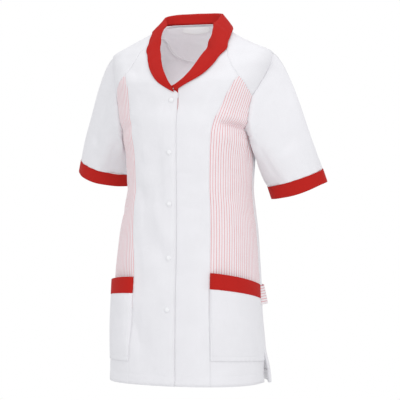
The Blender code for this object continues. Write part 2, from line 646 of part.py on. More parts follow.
def snap_caps():
    """Domed snap caps down the centre front, each turned from one profile."""
    profile = ((0.0, 1.0), (0.45, 0.88), (0.80, 0.55), (1.0, 0.20), (1.0, 0.0), (0.0, 0.0))
    for number, height in enumerate(SNAP_HEIGHTS, start=1):
        work = bmesh.new()
        points = [work.verts.new((radius * SNAP_RADIUS, 0, rise * SNAP_RISE))
                  for radius, rise in profile]
        edges = [work.edges.new(pair) for pair in zip(points[:-1], points[1:])]
        bmesh.ops.spin(work, geom=points + edges, cent=(0, 0, 0), axis=(0, 0, 1),
                       angle=math.tau, steps=14, use_merge=True)
        bmesh.ops.remove_doubles(work, verts=work.verts, dist=0.00002)
        bmesh.ops.recalc_face_normals(work, faces=work.faces)
        cap = add_piece(f"snap_cap_{number}", work, WHITE, roughness=0.35)
        cap.location = on_torso(0, height, WALL / 2 + 0.0005)
        cap.rotation_euler = outward(0, height).to_track_quat("Z", "Y").to_euler()


for existing in list(bpy.data.objects):
    bpy.data.objects.remove(existing, do_unlink=True)
tunic = bpy.data.collections.new("work_tunic")
bpy.context.scene.collection.children.link(tunic)

back_panel()
for body_side in (1, -1):
    front_panel(body_side)
    yoke_panel(body_side)
    side_front_panels(body_side)
    sleeve_and_cuff(body_side)
    pocket(body_side)
collar()
neck_facing()
neck_label()
back_belt()
snap_caps()
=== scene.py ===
"""A woman's snap-front work tunic, filled out as if worn.

The tunic hangs in one shared frame with its solids: metres, +Z up, the front faces -Y and the
wearer's left is +X.  Places on the body are written as an angle round it from the centre front,
in degrees, and a height in centimetres.
"""
import math

import bmesh
import bpy
import numpy as np
from mathutils import Matrix


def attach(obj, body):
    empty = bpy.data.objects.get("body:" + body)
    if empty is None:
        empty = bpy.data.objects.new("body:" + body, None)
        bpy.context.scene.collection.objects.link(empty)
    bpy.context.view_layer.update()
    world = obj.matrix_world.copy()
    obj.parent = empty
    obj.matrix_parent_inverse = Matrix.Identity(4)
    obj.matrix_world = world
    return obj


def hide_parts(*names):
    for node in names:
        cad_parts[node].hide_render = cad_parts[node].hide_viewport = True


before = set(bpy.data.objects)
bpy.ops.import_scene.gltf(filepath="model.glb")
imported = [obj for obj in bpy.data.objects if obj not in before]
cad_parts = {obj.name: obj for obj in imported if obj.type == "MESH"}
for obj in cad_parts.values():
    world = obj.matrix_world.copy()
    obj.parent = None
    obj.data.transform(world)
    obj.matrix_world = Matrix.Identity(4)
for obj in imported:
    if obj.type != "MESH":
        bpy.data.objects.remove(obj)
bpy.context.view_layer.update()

# ------------------------------------------------------------------------------------------
# Centre fronts: two long panels of white twill, the right lapping over the left.  Their front
# edges are turned back inside as facings and topstitched; they close with snaps.
# ------------------------------------------------------------------------------------------
CM = 0.01
HEM, POCKET_SEAM, VENT_TOP = -74.2, -58.5, -66.6
CLOTH = 0.0010                # one layer of twill
TURNED = 0.0013               # from the face of a hem to the layer turned back behind it
LAP = 0.0019                  # the left front lies this far behind the right one
LAP_BEGINS, LAP_FULL = 4.6, 2.0         # how far from the centre it sinks behind, cm
HEM_DEPTH, FACING_DEPTH = 0.020, 0.032
# The front edge laps past the centre, a little less towards the top, then bends off to the V.
EDGE_AT_HEM, EDGE_NARROWS, EDGE_RISE = 1.7, 0.4, 58.8
EDGE_BEND, EDGE_BEND_ROWS = ((4.2, -14.5), (2.2, -13.7), (-2.0, -13.2)), 54

# Level sections of the body: height, left, right, front, back, centre (cm) and squareness.
SECTIONS = (
    (4.6, 6.9, 6.9, 3.3, 3.8, 2.2, 2.0),
    (1.3, 6.2, 6.2, 3.0, 2.8, 2.2, 2.0),
    (0.0, 8.2, 8.5, 3.8, 3.1, 2.2, 2.0),
    (-0.9, 9.6, 10.2, 4.6, 3.6, 2.1, 2.0),
    (-3.0, 13.6, 14.5, 6.0, 4.3, 2.0, 2.05),
    (-5.3, 17.9, 18.3, 7.8, 5.1, 2.0, 2.1),
    (-7.0, 17.8, 17.9, 9.0, 6.2, 1.5, 2.1),
    (-9.0, 17.2, 17.2, 10.0, 7.4, 1.0, 2.1),
    (-12.0, 16.4, 16.4, 11.2, 8.9, 0.4, 2.15),
    (-16.0, 15.6, 15.6, 11.2, 9.9, 0.2, 2.2),
    (-21.0, 15.0, 14.7, 12.0, 10.6, 0.0, 2.2),
    (-26.5, 14.3, 13.4, 12.0, 10.6, 0.0, 2.25),
    (-33.4, 13.9, 13.0, 11.8, 10.0, 0.0, 2.3),
    (-38.3, 14.4, 13.8, 11.9, 10.5, 0.0, 2.3),
    (-43.6, 15.0, 14.9, 12.1, 11.0, 0.0, 2.3),
    (-49.4, 15.4, 15.6, 12.4, 11.6, 0.0, 2.3),
    (-58.7, 15.9, 16.2, 13.1, 12.2, 0.0, 2.3),
    (-67.7, 16.6, 16.8, 13.4, 12.6, 0.0, 2.3),
    (-74.2, 16.9, 17.0, 13.5, 12.8, 0.0, 2.3),
)
# The drape: angle and height at each end, width, rise (below zero a trough) and sideways bow, cm.
FOLDS = (
    (36, -20.0, 72, -21.6, 1.5, -0.45, 0),
    (40, -23.6, 66, -24.6, 2.0, 0.35, 0),
    (-36, -20.4, -70, -21.4, 1.5, -0.40, 0),
    (-28, -34.5, -5, -47.0, 1.8, -0.40, 0),
    (-22, -33.0, -2, -44.0, 1.6, 0.25, 0),
    (-25, -60.5, -10, -71.0, 2.0, -0.35, 0),
    (-9, -26.5, -9, -36.5, 1.8, -0.30, 0),
    (20, -33.0, 24, -47.0, 2.0, -0.22, 0),
    (47, -5.4, 30, -8.4, 1.8, -0.30, 0),
    (30, -8.4, 11, -15.5, 2.2, -0.28, 0),
    (-42, -5.6, -26, -9.4, 1.8, -0.25, 0),
    (128, -26.0, 170, -38.5, 2.4, -0.45, 0),
    (232, -25.0, 196, -37.0, 2.4, -0.45, 0),
    (150, -48.5, 146, -53.5, 1.8, 0.40, 0),
    (210, -48.0, 214, -53.5, 1.8, 0.40, 0),
    (118, -61.0, 124, -73.0, 2.4, -0.45, 0),
    (176, -60.5, 172, -73.5, 2.6, -0.50, 0),
    (238, -61.0, 232, -72.5, 2.4, -0.40, 0),
)
# Finer creases between the large folds, the same columns.  Each fades out at both ends.
CREASES = (
    (38, -18.8, 73, -20.4, 0.90, 0.36, 0.3),       # under the bust to the left armpit
    (40, -20.3, 78, -21.9, 0.50, -0.90, 0.3),
    (62, -22.4, 72, -22.6, 0.22, -0.20, 0.0),
    (63, -23.2, 74, -23.6, 0.22, -0.18, 0.0),
    (73, -21.6, 84, -28.5, 0.70, -0.50, 0.0),
    (44, -21.8, 52, -24.6, 0.70, 0.22, -0.3),
    (60, -24.6, 82, -29.5, 0.70, -0.16, 0.5),
    (-40, -20.6, -70, -22.8, 0.60, -0.22, -0.4),
    (-46, -23.6, -72, -27.5, 0.70, -0.14, 0.5),
    (47, -6.6, 22, -11.0, 0.8, -0.12, 0.7),        # across the left chest from the shoulder
    (52, -9.0, 26, -15.0, 1.0, -0.12, -0.8),
    (-44, -7.4, -24, -13.0, 0.9, -0.12, 0.6),
    (-34, -12.0, -12, -22.5, 1.1, -0.10, 0.9),
    (-30, -26.0, -14, -41.0, 0.9, -0.16, 0.9),     # the right front, slanting in to the waist
    (-27, -30.0, -5, -50.0, 0.8, -0.18, -0.7),
    (-20, -37.0, -3, -55.0, 1.1, 0.14, 0.8),
    (-31, -43.0, -20, -57.0, 1.0, -0.12, 0.8),
    (-13, -19.0, -10, -34.0, 0.9, -0.16, 0.3),
    (-18, -21.0, -17, -31.0, 0.8, -0.10, -0.3),
    (-27, -61.0, -14, -73.0, 0.9, -0.16, 0.6),
    (-18, -63.0, -4, -72.0, 1.1, 0.12, -0.5),
    (3, -30.7, 18, -31.3, 0.7, -0.12, 0.4),        # the left front at the waist
    (4, -33.5, 24, -36.2, 0.9, -0.12, -0.7),
    (5, -37.6, 25, -37.9, 0.7, -0.12, 0.3),
    (26, -38.0, 12, -50.0, 1.0, -0.12, 0.9),
    (22, -49.0, 8, -63.0, 1.2, -0.12, -0.9),
    (20, -60.0, 25, -73.0, 1.2, -0.14, 0.5),
    (10, -58.0, 14, -73.0, 1.3, 0.12, 0.5),
    (50, -30.0, 76, -33.5, 0.8, -0.14, 0.5),       # the sides at the waist
    (46, -34.5, 84, -38.5, 0.9, -0.15, -0.6),
    (52, -40.0, 80, -47.0, 1.0, -0.12, 0.7),
    (-44, -31.0, -80, -34.5, 0.8, -0.14, 0.5),
    (-42, -36.0, -84, -41.0, 0.9, -0.14, -0.5),
    (104, -22.5, 134, -27.5, 0.8, -0.18, 0.6),     # the back, from the armholes to the waist
    (102, -26.0, 140, -33.0, 0.9, -0.18, -0.8),
    (256, -22.5, 226, -28.0, 0.8, -0.18, -0.6),
    (258, -26.5, 222, -33.5, 0.9, -0.18, 0.8),
    (120, -31.0, 160, -36.5, 0.8, -0.18, 0.8),
    (240, -30.5, 198, -36.0, 0.8, -0.17, -0.8),
    (142, -36.5, 176, -41.0, 0.9, -0.16, -0.6),
    (214, -36.0, 186, -41.5, 0.9, -0.15, 0.6),
    (112, -12.0, 150, -19.0, 1.2, -0.14, 0.9),
    (248, -12.0, 212, -18.0, 1.2, -0.14, -0.9),
    (150, -6.0, 160, -17.0, 1.4, -0.10, 0.8),
    (208, -6.0, 200, -18.0, 1.4, -0.10, -0.8),
    (134, -59.5, 130, -73.5, 1.1, -0.18, 0.7),
    (158, -59.5, 160, -73.5, 1.2, 0.16, -0.6),
    (194, -59.5, 198, -73.5, 1.2, -0.18, 0.7),
    (222, -59.5, 226, -73.0, 1.1, 0.14, 0.6),
    (104, -60.0, 103, -73.0, 1.0, -0.14, 0.4),
    (254, -60.0, 257, -73.0, 1.0, -0.14, -0.4),
)
PRINCESS_SEAM = {
    1: ((28.7, HEM), (29.0, -68.7), (29.4, POCKET_SEAM), (30.2, -50.0), (31.2, -43.0),
        (32.4, -36.0), (32.2, -28.0), (32.2, -23.0), (35.0, -19.6), (39.4, -16.6),
        (46.0, -12.6), (50.5, -10.6)),
    -1: ((29.2, HEM), (28.4, -68.7), (27.2, POCKET_SEAM), (27.8, -50.0), (32.6, -43.0),
         (37.2, -36.0), (37.2, -28.0), (38.2, -23.0), (39.0, -19.6), (38.6, -16.6),
         (39.6, -12.6), (43.5, -9.9)),
}
YOKE_FRONT_SEAM = {
    1: ((50.5, -10.6), (40.0, -8.1), (33.0, -5.4), (31.0, -3.6), (33.0, -1.9)),
    -1: ((43.5, -9.9), (36.0, -7.7), (30.5, -5.3), (29.0, -3.5), (30.5, -1.9)),
}
# The neckline seam, from the V up to the shoulder seam.
NECKLINE = {
    1: ((6.6, -12.20), (11.2, -10.90), (14.8, -9.40), (17.2, -7.50), (20.0, -5.40),
        (25.5, -3.50), (33.0, -1.90), (45.0, -0.30), (62.0, 0.75), (84.0, 1.20)),
    -1: ((5.0, -12.20), (8.2, -10.90), (11.6, -9.40), (14.4, -7.50), (17.0, -5.40),
         (22.5, -3.50), (30.5, -1.90), (44.0, -0.30), (62.0, 0.75), (84.0, 1.20)),
}
# Facets along each stretch of seam, shared by the panels that meet there.
HEM_STEPS, SIDE_STEPS, ARMPIT_STEPS, BACK_ARM_STEPS = 42, 102, 36, 48
YOKE_STEPS, SIDE_FRONT_ACROSS, FRONT_ACROSS, SHOULDER_ACROSS = 30, 42, 48, 24


def smooth_curve(keys, values):
    """A cubic through the rows of a table that never overshoots them, to read arrays with."""
    keys, values = np.asarray(keys, float), np.asarray(values, float)
    if keys[0] > keys[-1]:
        keys, values = keys[::-1], values[::-1]
    steps = np.diff(keys)
    slopes = np.diff(values) / steps
    before, after, low, high = slopes[:-1], slopes[1:], steps[:-1], steps[1:]
    low_weight, high_weight = 2 * high + low, high + 2 * low
    same_way = before * after > 0
    safe_before, safe_after = np.where(same_way, before, 1), np.where(same_way, after, 1)
    middle = (low_weight + high_weight) / (low_weight / safe_before + high_weight / safe_after)
    tangents = np.concatenate(([slopes[0]], np.where(same_way, middle, 0.0), [slopes[-1]]))

    def read(at):
        at = np.clip(at, keys[0], keys[-1])
        i = np.clip(np.searchsorted(keys, at, side="right") - 1, 0, len(steps) - 1)
        t = (at - keys[i]) / steps[i]
        return ((2 * t**3 - 3 * t**2 + 1) * values[i]
                + (t**3 - 2 * t**2 + t) * steps[i] * tangents[i]
                + (3 * t**2 - 2 * t**3) * values[i + 1]
                + (t**3 - t**2) * steps[i] * tangents[i + 1])
    return read


SECTION_CURVES = [smooth_curve([row[0] for row in SECTIONS], [row[column] for row in SECTIONS])
                  for column in range(1, 7)]


def unit(vectors):
    """The same ways, each one metre long."""
    return vectors / np.maximum(np.linalg.norm(vectors, axis=-1, keepdims=True), 1e-12)


def ease(value):
    """From 0 to 1 without a corner at either end."""
    value = np.clip(value, 0.0, 1.0)
    return value * value * (3 - 2 * value)


def bare_body(angle, height):
    """Points of the worn form, without the drape."""
    angle, height = np.broadcast_arrays(np.asarray(angle, float), np.asarray(height, float))
    left, right, front, back, centre, squareness = (curve(height) for curve in SECTION_CURVES)
    sine, cosine = np.sin(np.radians(angle)), np.cos(np.radians(angle))
    half = np.where(sine > 0, left, right)
    depth = np.where(cosine > 0, front, back)
    return CM * np.stack((half * np.sign(sine) * np.abs(sine) ** (2 / squareness),
                          centre - depth * np.sign(cosine) * np.abs(cosine) ** (2 / squareness),
                          height), axis=-1)


def outward(angle, height):
    """The way straight out of the worn form."""
    around = bare_body(angle + 0.6, height) - bare_body(angle - 0.6, height)
    upwards = bare_body(angle, height + 0.15) - bare_body(angle, height - 0.15)
    return unit(np.cross(around, upwards))


SPINE_POINTS = 25             # points along each fold's path


def drape(points, rows, fades):
    """How far these folds lift or sink the cloth at each point."""
    rise = np.zeros(points.shape[:-1])
    for angle_from, height_from, angle_to, height_to, width, height, bow in rows:
        share = np.linspace(0, 1, SPINE_POINTS)
        spine = bare_body(angle_from + (angle_to - angle_from) * share,
                          height_from + (height_to - height_from) * share)
        start, run = spine[0], spine[-1] - spine[0]
        aside = unit(np.cross(outward(np.asarray((angle_from + angle_to) / 2.0),
                                      np.asarray((height_from + height_to) / 2.0)), run))
        spine = spine + (4 * share * (1 - share) * bow * CM)[:, None] * aside
        along = np.clip((points - start) @ run / (run @ run), 0.0, 1.0)
        spine_along = (spine - start) @ run / (run @ run)
        path = np.stack([np.interp(along, spine_along, spine[:, k]) for k in range(3)], axis=-1)
        away = np.linalg.norm(points - path, axis=-1) / (width * CM)
        fade = (4 * along * (1 - along)) ** 0.6 if fades else 1.0
        rise += height * CM * fade * np.exp(-away ** 2)
    return rise


WAVES, WAVE_LENGTHS = 10, (0.035, 0.16)


def unevenness(points, seed, size):
    """The slight waviness of cloth that is never pressed quite flat."""
    draws = np.random.default_rng(seed)
    rise = np.zeros(points.shape[:-1])
    for _ in range(WAVES):
        length = draws.uniform(*WAVE_LENGTHS)
        way = unit(draws.normal(size=3) * (1.0, 1.0, 0.45)) * math.tau / length
        rise += np.sin(points @ way + draws.uniform(0, math.tau)) * size * length / 0.1
    return rise / 3


def on_body(angle, height, out=0.0):
    """Points of the worn cloth, moved out by a distance in metres, and the way out there."""
    bare, way_out = bare_body(angle, height), outward(angle, height)
    rise = drape(bare, FOLDS, False) + drape(bare, CREASES, True) + unevenness(bare, 4, 0.0008)
    return bare + way_out * (out + rise)[..., None], way_out


def lengths_along(path):
    """How far each point lies along a path, from its first one."""
    return np.concatenate(([0.0], np.cumsum(np.linalg.norm(np.diff(path, axis=0), axis=1))))


def seam(rows, count, side=1):
    """A seam as equal steps of (angle, height) along its smooth curve."""
    rows = np.asarray(rows, float)
    lengths = lengths_along(bare_body(rows[:, 0], rows[:, 1]))
    at = np.linspace(0, lengths[-1], count + 1)
    return np.stack((side * smooth_curve(lengths, rows[:, 0])(at),
                     smooth_curve(lengths, rows[:, 1])(at)), axis=1)


def straight(start, end, count):
    """Equal steps from one (angle, height) to another."""
    return np.linspace(start, end, count + 1)


def join(*runs):
    """Seams end to end, each shared end once."""
    return np.concatenate([runs[0]] + [run[1:] for run in runs[1:]])


# Girth round the body at each height, read by angle: it lays out the cloth's own threads.
GIRTH_PER_CM = 2
GIRTH_HEIGHTS, GIRTH_ANGLES = np.linspace(-75, 5, 161), np.linspace(-120, 300, 421)
GIRTH = np.zeros((len(GIRTH_HEIGHTS), len(GIRTH_ANGLES)))
GIRTH[:, 1:] = np.cumsum(np.linalg.norm(np.diff(
    bare_body(GIRTH_ANGLES[None, :], GIRTH_HEIGHTS[:, None]), axis=1), axis=-1), axis=1)


def girth(angle, height):
    """Metres round the body to this angle, at this height."""
    column = np.clip(angle - GIRTH_ANGLES[0], 0, len(GIRTH_ANGLES) - 1.001)
    row = np.clip((height - GIRTH_HEIGHTS[0]) * GIRTH_PER_CM, 0, len(GIRTH_HEIGHTS) - 1.001)
    i, j = column.astype(int), row.astype(int)
    u, v = column - i, row - j
    return ((1 - v) * ((1 - u) * GIRTH[j, i] + u * GIRTH[j, i + 1])
            + v * ((1 - u) * GIRTH[j + 1, i] + u * GIRTH[j + 1, i + 1]))


def panel(left, right, bottom, top, out=None, thread_line=None):
    """Fill four seams with cloth: points, the way out, and thread places in metres."""
    v = np.linspace(0, 1, len(left))[:, None, None]
    u = np.linspace(0, 1, len(bottom))[None, :, None]
    places = ((1 - u) * left[:, None] + u * right[:, None]
              + (1 - v) * bottom[None] + v * top[None]
              - (1 - u) * (1 - v) * left[0] - u * (1 - v) * right[0]
              - (1 - u) * v * left[-1] - u * v * right[-1])
    angle, height = places[..., 0], places[..., 1]
    points, way_out = on_body(angle, height, out(angle, height) if out else 0.0)
    line = thread_line(height) if thread_line else np.zeros_like(height)
    threads = np.stack((girth(angle, height) - girth(line, height), height * CM), axis=-1)
    return points, way_out, threads


def edge_first(array, edge):
    """The rows turned so that the first one lies along this border."""
    array = array.swapaxes(0, 1) if edge in ("left", "right") else array
    return array[::-1] if edge in ("right", "top") else array


def edge_back(array, edge):
    """The rows turned back again."""
    array = array[::-1] if edge in ("right", "top") else array
    return array.swapaxes(0, 1) if edge in ("left", "right") else array


def depth_in(points):
    """How far each point lies in from the first row, along its own thread."""
    steps = np.linalg.norm(np.diff(points, axis=0), axis=-1)
    return np.concatenate((np.zeros((1, points.shape[1])), np.cumsum(steps, axis=0)))


# Across a stitched groove: the places, as shares of its distance from the border, and how deep.
GROOVE_PLACES = np.array((0.0, 0.35, 0.7, 0.9, 1.0, 1.1, 1.35, 1.65))
GROOVE_DEPTHS = np.array((0.0, 0.0, 0.1, 0.6, 1.0, 0.6, 0.1, 0.0))


def stitched(sheet, edge, inset, sink=0.0004):
    """Press a fine groove along a border, where a row of topstitching draws the cloth in."""
    arrays = [edge_first(array, edge) for array in sheet]
    depth = depth_in(arrays[0])
    first_kept = int(np.argmax(depth.min(axis=1) > 2.0 * inset))
    at, columns = GROOVE_PLACES * inset, range(arrays[0].shape[1])
    finer = [np.stack([np.stack([np.interp(at, depth[:, c], array[:, c, k]) for c in columns], 1)
                       for k in range(array.shape[2])], axis=-1) for array in arrays]
    finer[0] = finer[0] - finer[1] * (GROOVE_DEPTHS * sink)[:, None, None]
    return [edge_back(np.concatenate((near, array[first_kept:])), edge)
            for near, array in zip(finer, arrays)]


def line_in(sheet, edge, inset, lift):
    """The path that a row of stitches takes, this far in from a border."""
    points, way_out, _ = (edge_first(array, edge) for array in sheet)
    depth = depth_in(points)
    path = [[np.interp(inset, depth[:, c], array[:, c, k]) for k in range(3)]
            for array in (points, way_out) for c in range(points.shape[1])]
    half = len(path) // 2
    path, ways = np.array(path[:half]), unit(np.array(path[half:]))
    return path + ways * lift, ways


PUCKER_LENGTH, PUCKER_DRIFT, PUCKER_REACH = 0.013, 0.071, 0.007
TURN_OUT, TURN_DOWN = 0.00015, 0.0005   # how the cloth rounds over as it goes into a seam


def seamed(sheet, *edges, gap=0.0002, deep=0.0045, pucker=0.00016):
    """Borders sewn to a neighbour: the cloth turns in and its seam allowance stands inside."""
    for edge in edges:
        points, way_out, threads = (edge_first(array, edge).copy() for array in sheet)
        outer = unit(points[0] - points[1])
        depth = depth_in(points)
        run = lengths_along(points[0])
        ripple = np.sin(run * math.tau / PUCKER_LENGTH
                        + 2.0 * np.sin(run * math.tau / PUCKER_DRIFT))
        fade = np.exp(-(depth / PUCKER_REACH) ** 2)
        points = points + way_out * (ripple * pucker * fade)[..., None]
        points[0] -= outer * gap
        turn = points[0] + outer * TURN_OUT - way_out[0] * TURN_DOWN
        inside = turn - way_out[0] * deep
        sheet = [edge_back(np.concatenate((extra, array)), edge) for extra, array in (
            (np.stack((inside, turn)), points), (way_out[:1].repeat(2, 0), way_out),
            (threads[:1].repeat(2, 0), threads))]
    return sheet


def hemmed(sheet, edge, width, depth=TURNED):
    """A border folded back inside along its whole length."""
    points, way_out, threads = (edge_first(array, edge) for array in sheet)
    rows = max(int(np.argmax(depth_in(points).min(axis=1) > width)), 2)
    outer = unit(points[0] - points[1])
    back = points[rows:0:-1] - way_out[rows:0:-1] * depth
    turn = points[:1] + outer * depth * 0.35 - way_out[:1] * depth * 0.5
    return [edge_back(np.concatenate(parts), edge) for parts in (
        (back, turn, points), (way_out[rows:0:-1], way_out[:1], way_out),
        (threads[rows:0:-1], threads[:1], threads))]


def cloth(name, sheet, material, wall=CLOTH, ring=False):
    """Make the piece of cloth: a grid laid on its points, then given its thickness."""
    points, way_out, threads = sheet
    rows, columns = points.shape[0] - 1, points.shape[1] - 1
    work = bmesh.new()
    bmesh.ops.create_grid(work, x_segments=columns, y_segments=rows, size=0.5)
    mesh = bpy.data.meshes.new(name)
    work.to_mesh(mesh)
    flat = np.empty(len(mesh.vertices) * 3)
    mesh.vertices.foreach_get("co", flat)
    i = np.rint((flat[0::3] + 0.5) * columns).astype(int)
    j = np.rint((flat[1::3] + 0.5) * rows).astype(int)
    mesh.vertices.foreach_set("co", points[j, i].ravel())
    corners = np.empty(len(mesh.loops), dtype=np.int32)
    mesh.loops.foreach_get("vertex_index", corners)
    layout = mesh.uv_layers.new(name="threads")
    layout.data.foreach_set("uv", threads[j, i][corners].astype(np.float32).ravel())
    mesh.update()
    normals = np.empty(len(mesh.vertices) * 3)
    mesh.vertices.foreach_get("normal", normals)
    if (normals.reshape(-1, 3) * way_out[j, i]).sum() < 0:
        mesh.flip_normals()
    if ring:
        work.clear()
        work.from_mesh(mesh)
        bmesh.ops.remove_doubles(work, verts=work.verts, dist=0.00001)
        work.to_mesh(mesh)
    work.free()
    mesh.shade_smooth()
    mesh.materials.append(material)
    piece = bpy.data.objects.new(name, mesh)
    bpy.context.scene.collection.objects.link(piece)
    solidify = piece.modifiers.new("thickness", "SOLIDIFY")
    solidify.thickness = wall
    solidify.offset = 0.0
    return piece


def declare(piece, nodes, slot, flat, area, held="hung", rests_on=("collar",)):
    """Hang the piece from the root and hide the solids that it stands for; the slot, the flat size
    that its cloth was cut to, the area, how it is held and what it rests on are not used.
    """
    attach(piece, "root")
    if nodes:
        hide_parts(*nodes)


MIX_FACTOR, MIX_LOW, MIX_HIGH, MIX_RESULT = 0, 6, 7, 2      # a Mix node's colour sockets
COLOUR_RANGE = 0.955, 1.02    # the darkest and the lightest tone, as shares of the colour
THREAD_GREY = (0.93, 0.93, 0.93)


def woven(name, colour, stripe=None, across=True, weave=0.00052, twill=True, roughness=0.82,
          sheen=0.20, gloss=0.25):
    """Cloth woven of fine threads, a little uneven in tone, with a soft nap.

    A stripe is (colour, pitch, width) and runs along the threads, or across them."""
    material = bpy.data.materials.new(name)
    material.use_nodes = True
    nodes, links = material.node_tree.nodes, material.node_tree.links
    shader = nodes["Principled BSDF"]
    shader.inputs["Roughness"].default_value = roughness
    shader.inputs["Specular IOR Level"].default_value = gloss
    shader.inputs["Sheen Weight"].default_value = sheen
    shader.inputs["Sheen Roughness"].default_value = 0.45
    layout = nodes.new("ShaderNodeUVMap")
    layout.uv_map = "threads"
    place = nodes.new("ShaderNodeTexCoord")

    def wave(direction, pitch, source=layout.outputs["UV"]):
        bands = nodes.new("ShaderNodeTexWave")
        bands.wave_type = "BANDS"
        bands.bands_direction = direction
        bands.inputs["Scale"].default_value = math.tau / 20 / pitch
        links.new(source, bands.inputs["Vector"])
        return bands.outputs["Fac"]

    def cloud(size, detail, source=place.outputs["Object"]):
        noise = nodes.new("ShaderNodeTexNoise")
        noise.inputs["Scale"].default_value = 1 / size
        noise.inputs["Detail"].default_value = detail
        links.new(source, noise.inputs["Vector"])
        return noise.outputs["Fac"]

    def blend(low, high, factor):
        mix = nodes.new("ShaderNodeMix")
        mix.data_type = "RGBA"
        for socket, value in ((MIX_LOW, low), (MIX_HIGH, high)):
            if isinstance(value, tuple):
                mix.inputs[socket].default_value = (*value, 1.0)
            else:
                links.new(value, mix.inputs[socket])
        links.new(factor, mix.inputs[MIX_FACTOR])
        return mix.outputs[MIX_RESULT]

    def graph(operation, first, second):
        step = nodes.new("ShaderNodeMath")
        step.operation = operation
        for socket, value in enumerate((first, second)):
            if isinstance(value, float):
                step.inputs[socket].default_value = value
            else:
                links.new(value, step.inputs[socket])
        return step.outputs[0]

    darkest, lightest = (tuple(min(share * c, 1.0) for c in colour) for share in COLOUR_RANGE)
    tone = blend(darkest, lightest, cloud(0.035, 3.0))
    if stripe:
        stripe_colour, pitch, width = stripe
        split = nodes.new("ShaderNodeSeparateXYZ")
        links.new(layout.outputs["UV"], split.inputs[0])
        turns = graph("DIVIDE", split.outputs[0 if across else 1], pitch)
        share = graph("FRACT", graph("ADD", turns, 500.5), 0.0)
        away = graph("ABSOLUTE", graph("SUBTRACT", share, 0.5), 0.0)
        soft = nodes.new("ShaderNodeMapRange")
        soft.interpolation_type = "SMOOTHSTEP"
        soft.inputs["From Min"].default_value = width / pitch / 2 * 0.75
        soft.inputs["From Max"].default_value = width / pitch / 2 * 1.25
        soft.inputs["To Min"].default_value = 1.0
        soft.inputs["To Max"].default_value = 0.0
        links.new(away, soft.inputs["Value"])
        tone = blend(tone, stripe_colour, soft.outputs["Result"])
    thread_shade = wave("DIAGONAL" if twill else "X", weave)
    grey = blend(THREAD_GREY, (1.0, 1.0, 1.0), thread_shade)
    finish = nodes.new("ShaderNodeMix")
    finish.data_type = "RGBA"
    finish.blend_type = "MULTIPLY"
    finish.inputs[MIX_FACTOR].default_value = 1.0
    links.new(tone, finish.inputs[MIX_LOW])
    links.new(grey, finish.inputs[MIX_HIGH])
    links.new(finish.outputs[MIX_RESULT], shader.inputs["Base Color"])
    threads = graph("ADD", thread_shade, wave("Y", weave * 0.9))
    fine = nodes.new("ShaderNodeBump")
    fine.inputs["Strength"].default_value = 0.35
    fine.inputs["Distance"].default_value = 0.00009
    links.new(threads, fine.inputs["Height"])
    rumple = nodes.new("ShaderNodeBump")
    rumple.inputs["Strength"].default_value = 0.55
    rumple.inputs["Distance"].default_value = 0.0011
    links.new(cloud(0.024, 2.5), rumple.inputs["Height"])
    links.new(fine.outputs["Normal"], rumple.inputs["Normal"])
    links.new(rumple.outputs["Normal"], shader.inputs["Normal"])
    return material


WHITE_TWILL = woven("white twill", (0.845, 0.838, 0.862))
WHITE_THREAD = woven("white thread", (0.85, 0.85, 0.87), weave=0.0003)
STITCH_HALF, STITCH_FLAT = 0.42, 0.8     # a stitch's half length of its pitch, and its height


def sew(name, lines, material, pitch=0.0031, thread=0.00030):
    """Rows of topstitching: one short rounded stitch after another along each line."""
    work = bmesh.new()
    for path, ways in lines:
        run = lengths_along(path)
        count = int(run[-1] / pitch)
        for number in range(count):
            at = (number + 0.5) * pitch
            middle, before, after, out = (
                np.array([np.interp(where, run, array[:, k]) for k in range(3)])
                for where, array in ((at, path), (at - pitch / 2, path), (at + pitch / 2, path),
                                     (at, ways)))
            along = unit(after - before)
            aside = unit(np.cross(out, along))
            above = np.cross(along, aside)
            turn = np.eye(4)
            turn[:3, 0], turn[:3, 1], turn[:3, 2] = (
                along * pitch * STITCH_HALF, aside * thread, above * thread * STITCH_FLAT)
            turn[:3, 3] = middle
            bmesh.ops.create_icosphere(work, subdivisions=1, radius=1.0, matrix=Matrix(turn))
    mesh = bpy.data.meshes.new(name)
    work.to_mesh(mesh)
    work.free()
    mesh.shade_smooth()
    mesh.uv_layers.new(name="threads")
    mesh.materials.append(material)
    stitches = bpy.data.objects.new(name, mesh)
    bpy.context.scene.collection.objects.link(stitches)
    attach(stitches, "root")
    return stitches


def angle_at(half, height):
    """The angle of the place this many centimetres to the left of the centre."""
    width, squareness = SECTION_CURVES[0](height), SECTION_CURVES[5](height)
    return np.degrees(np.arcsin(np.sign(half) * (np.abs(half) / width) ** (squareness / 2)))


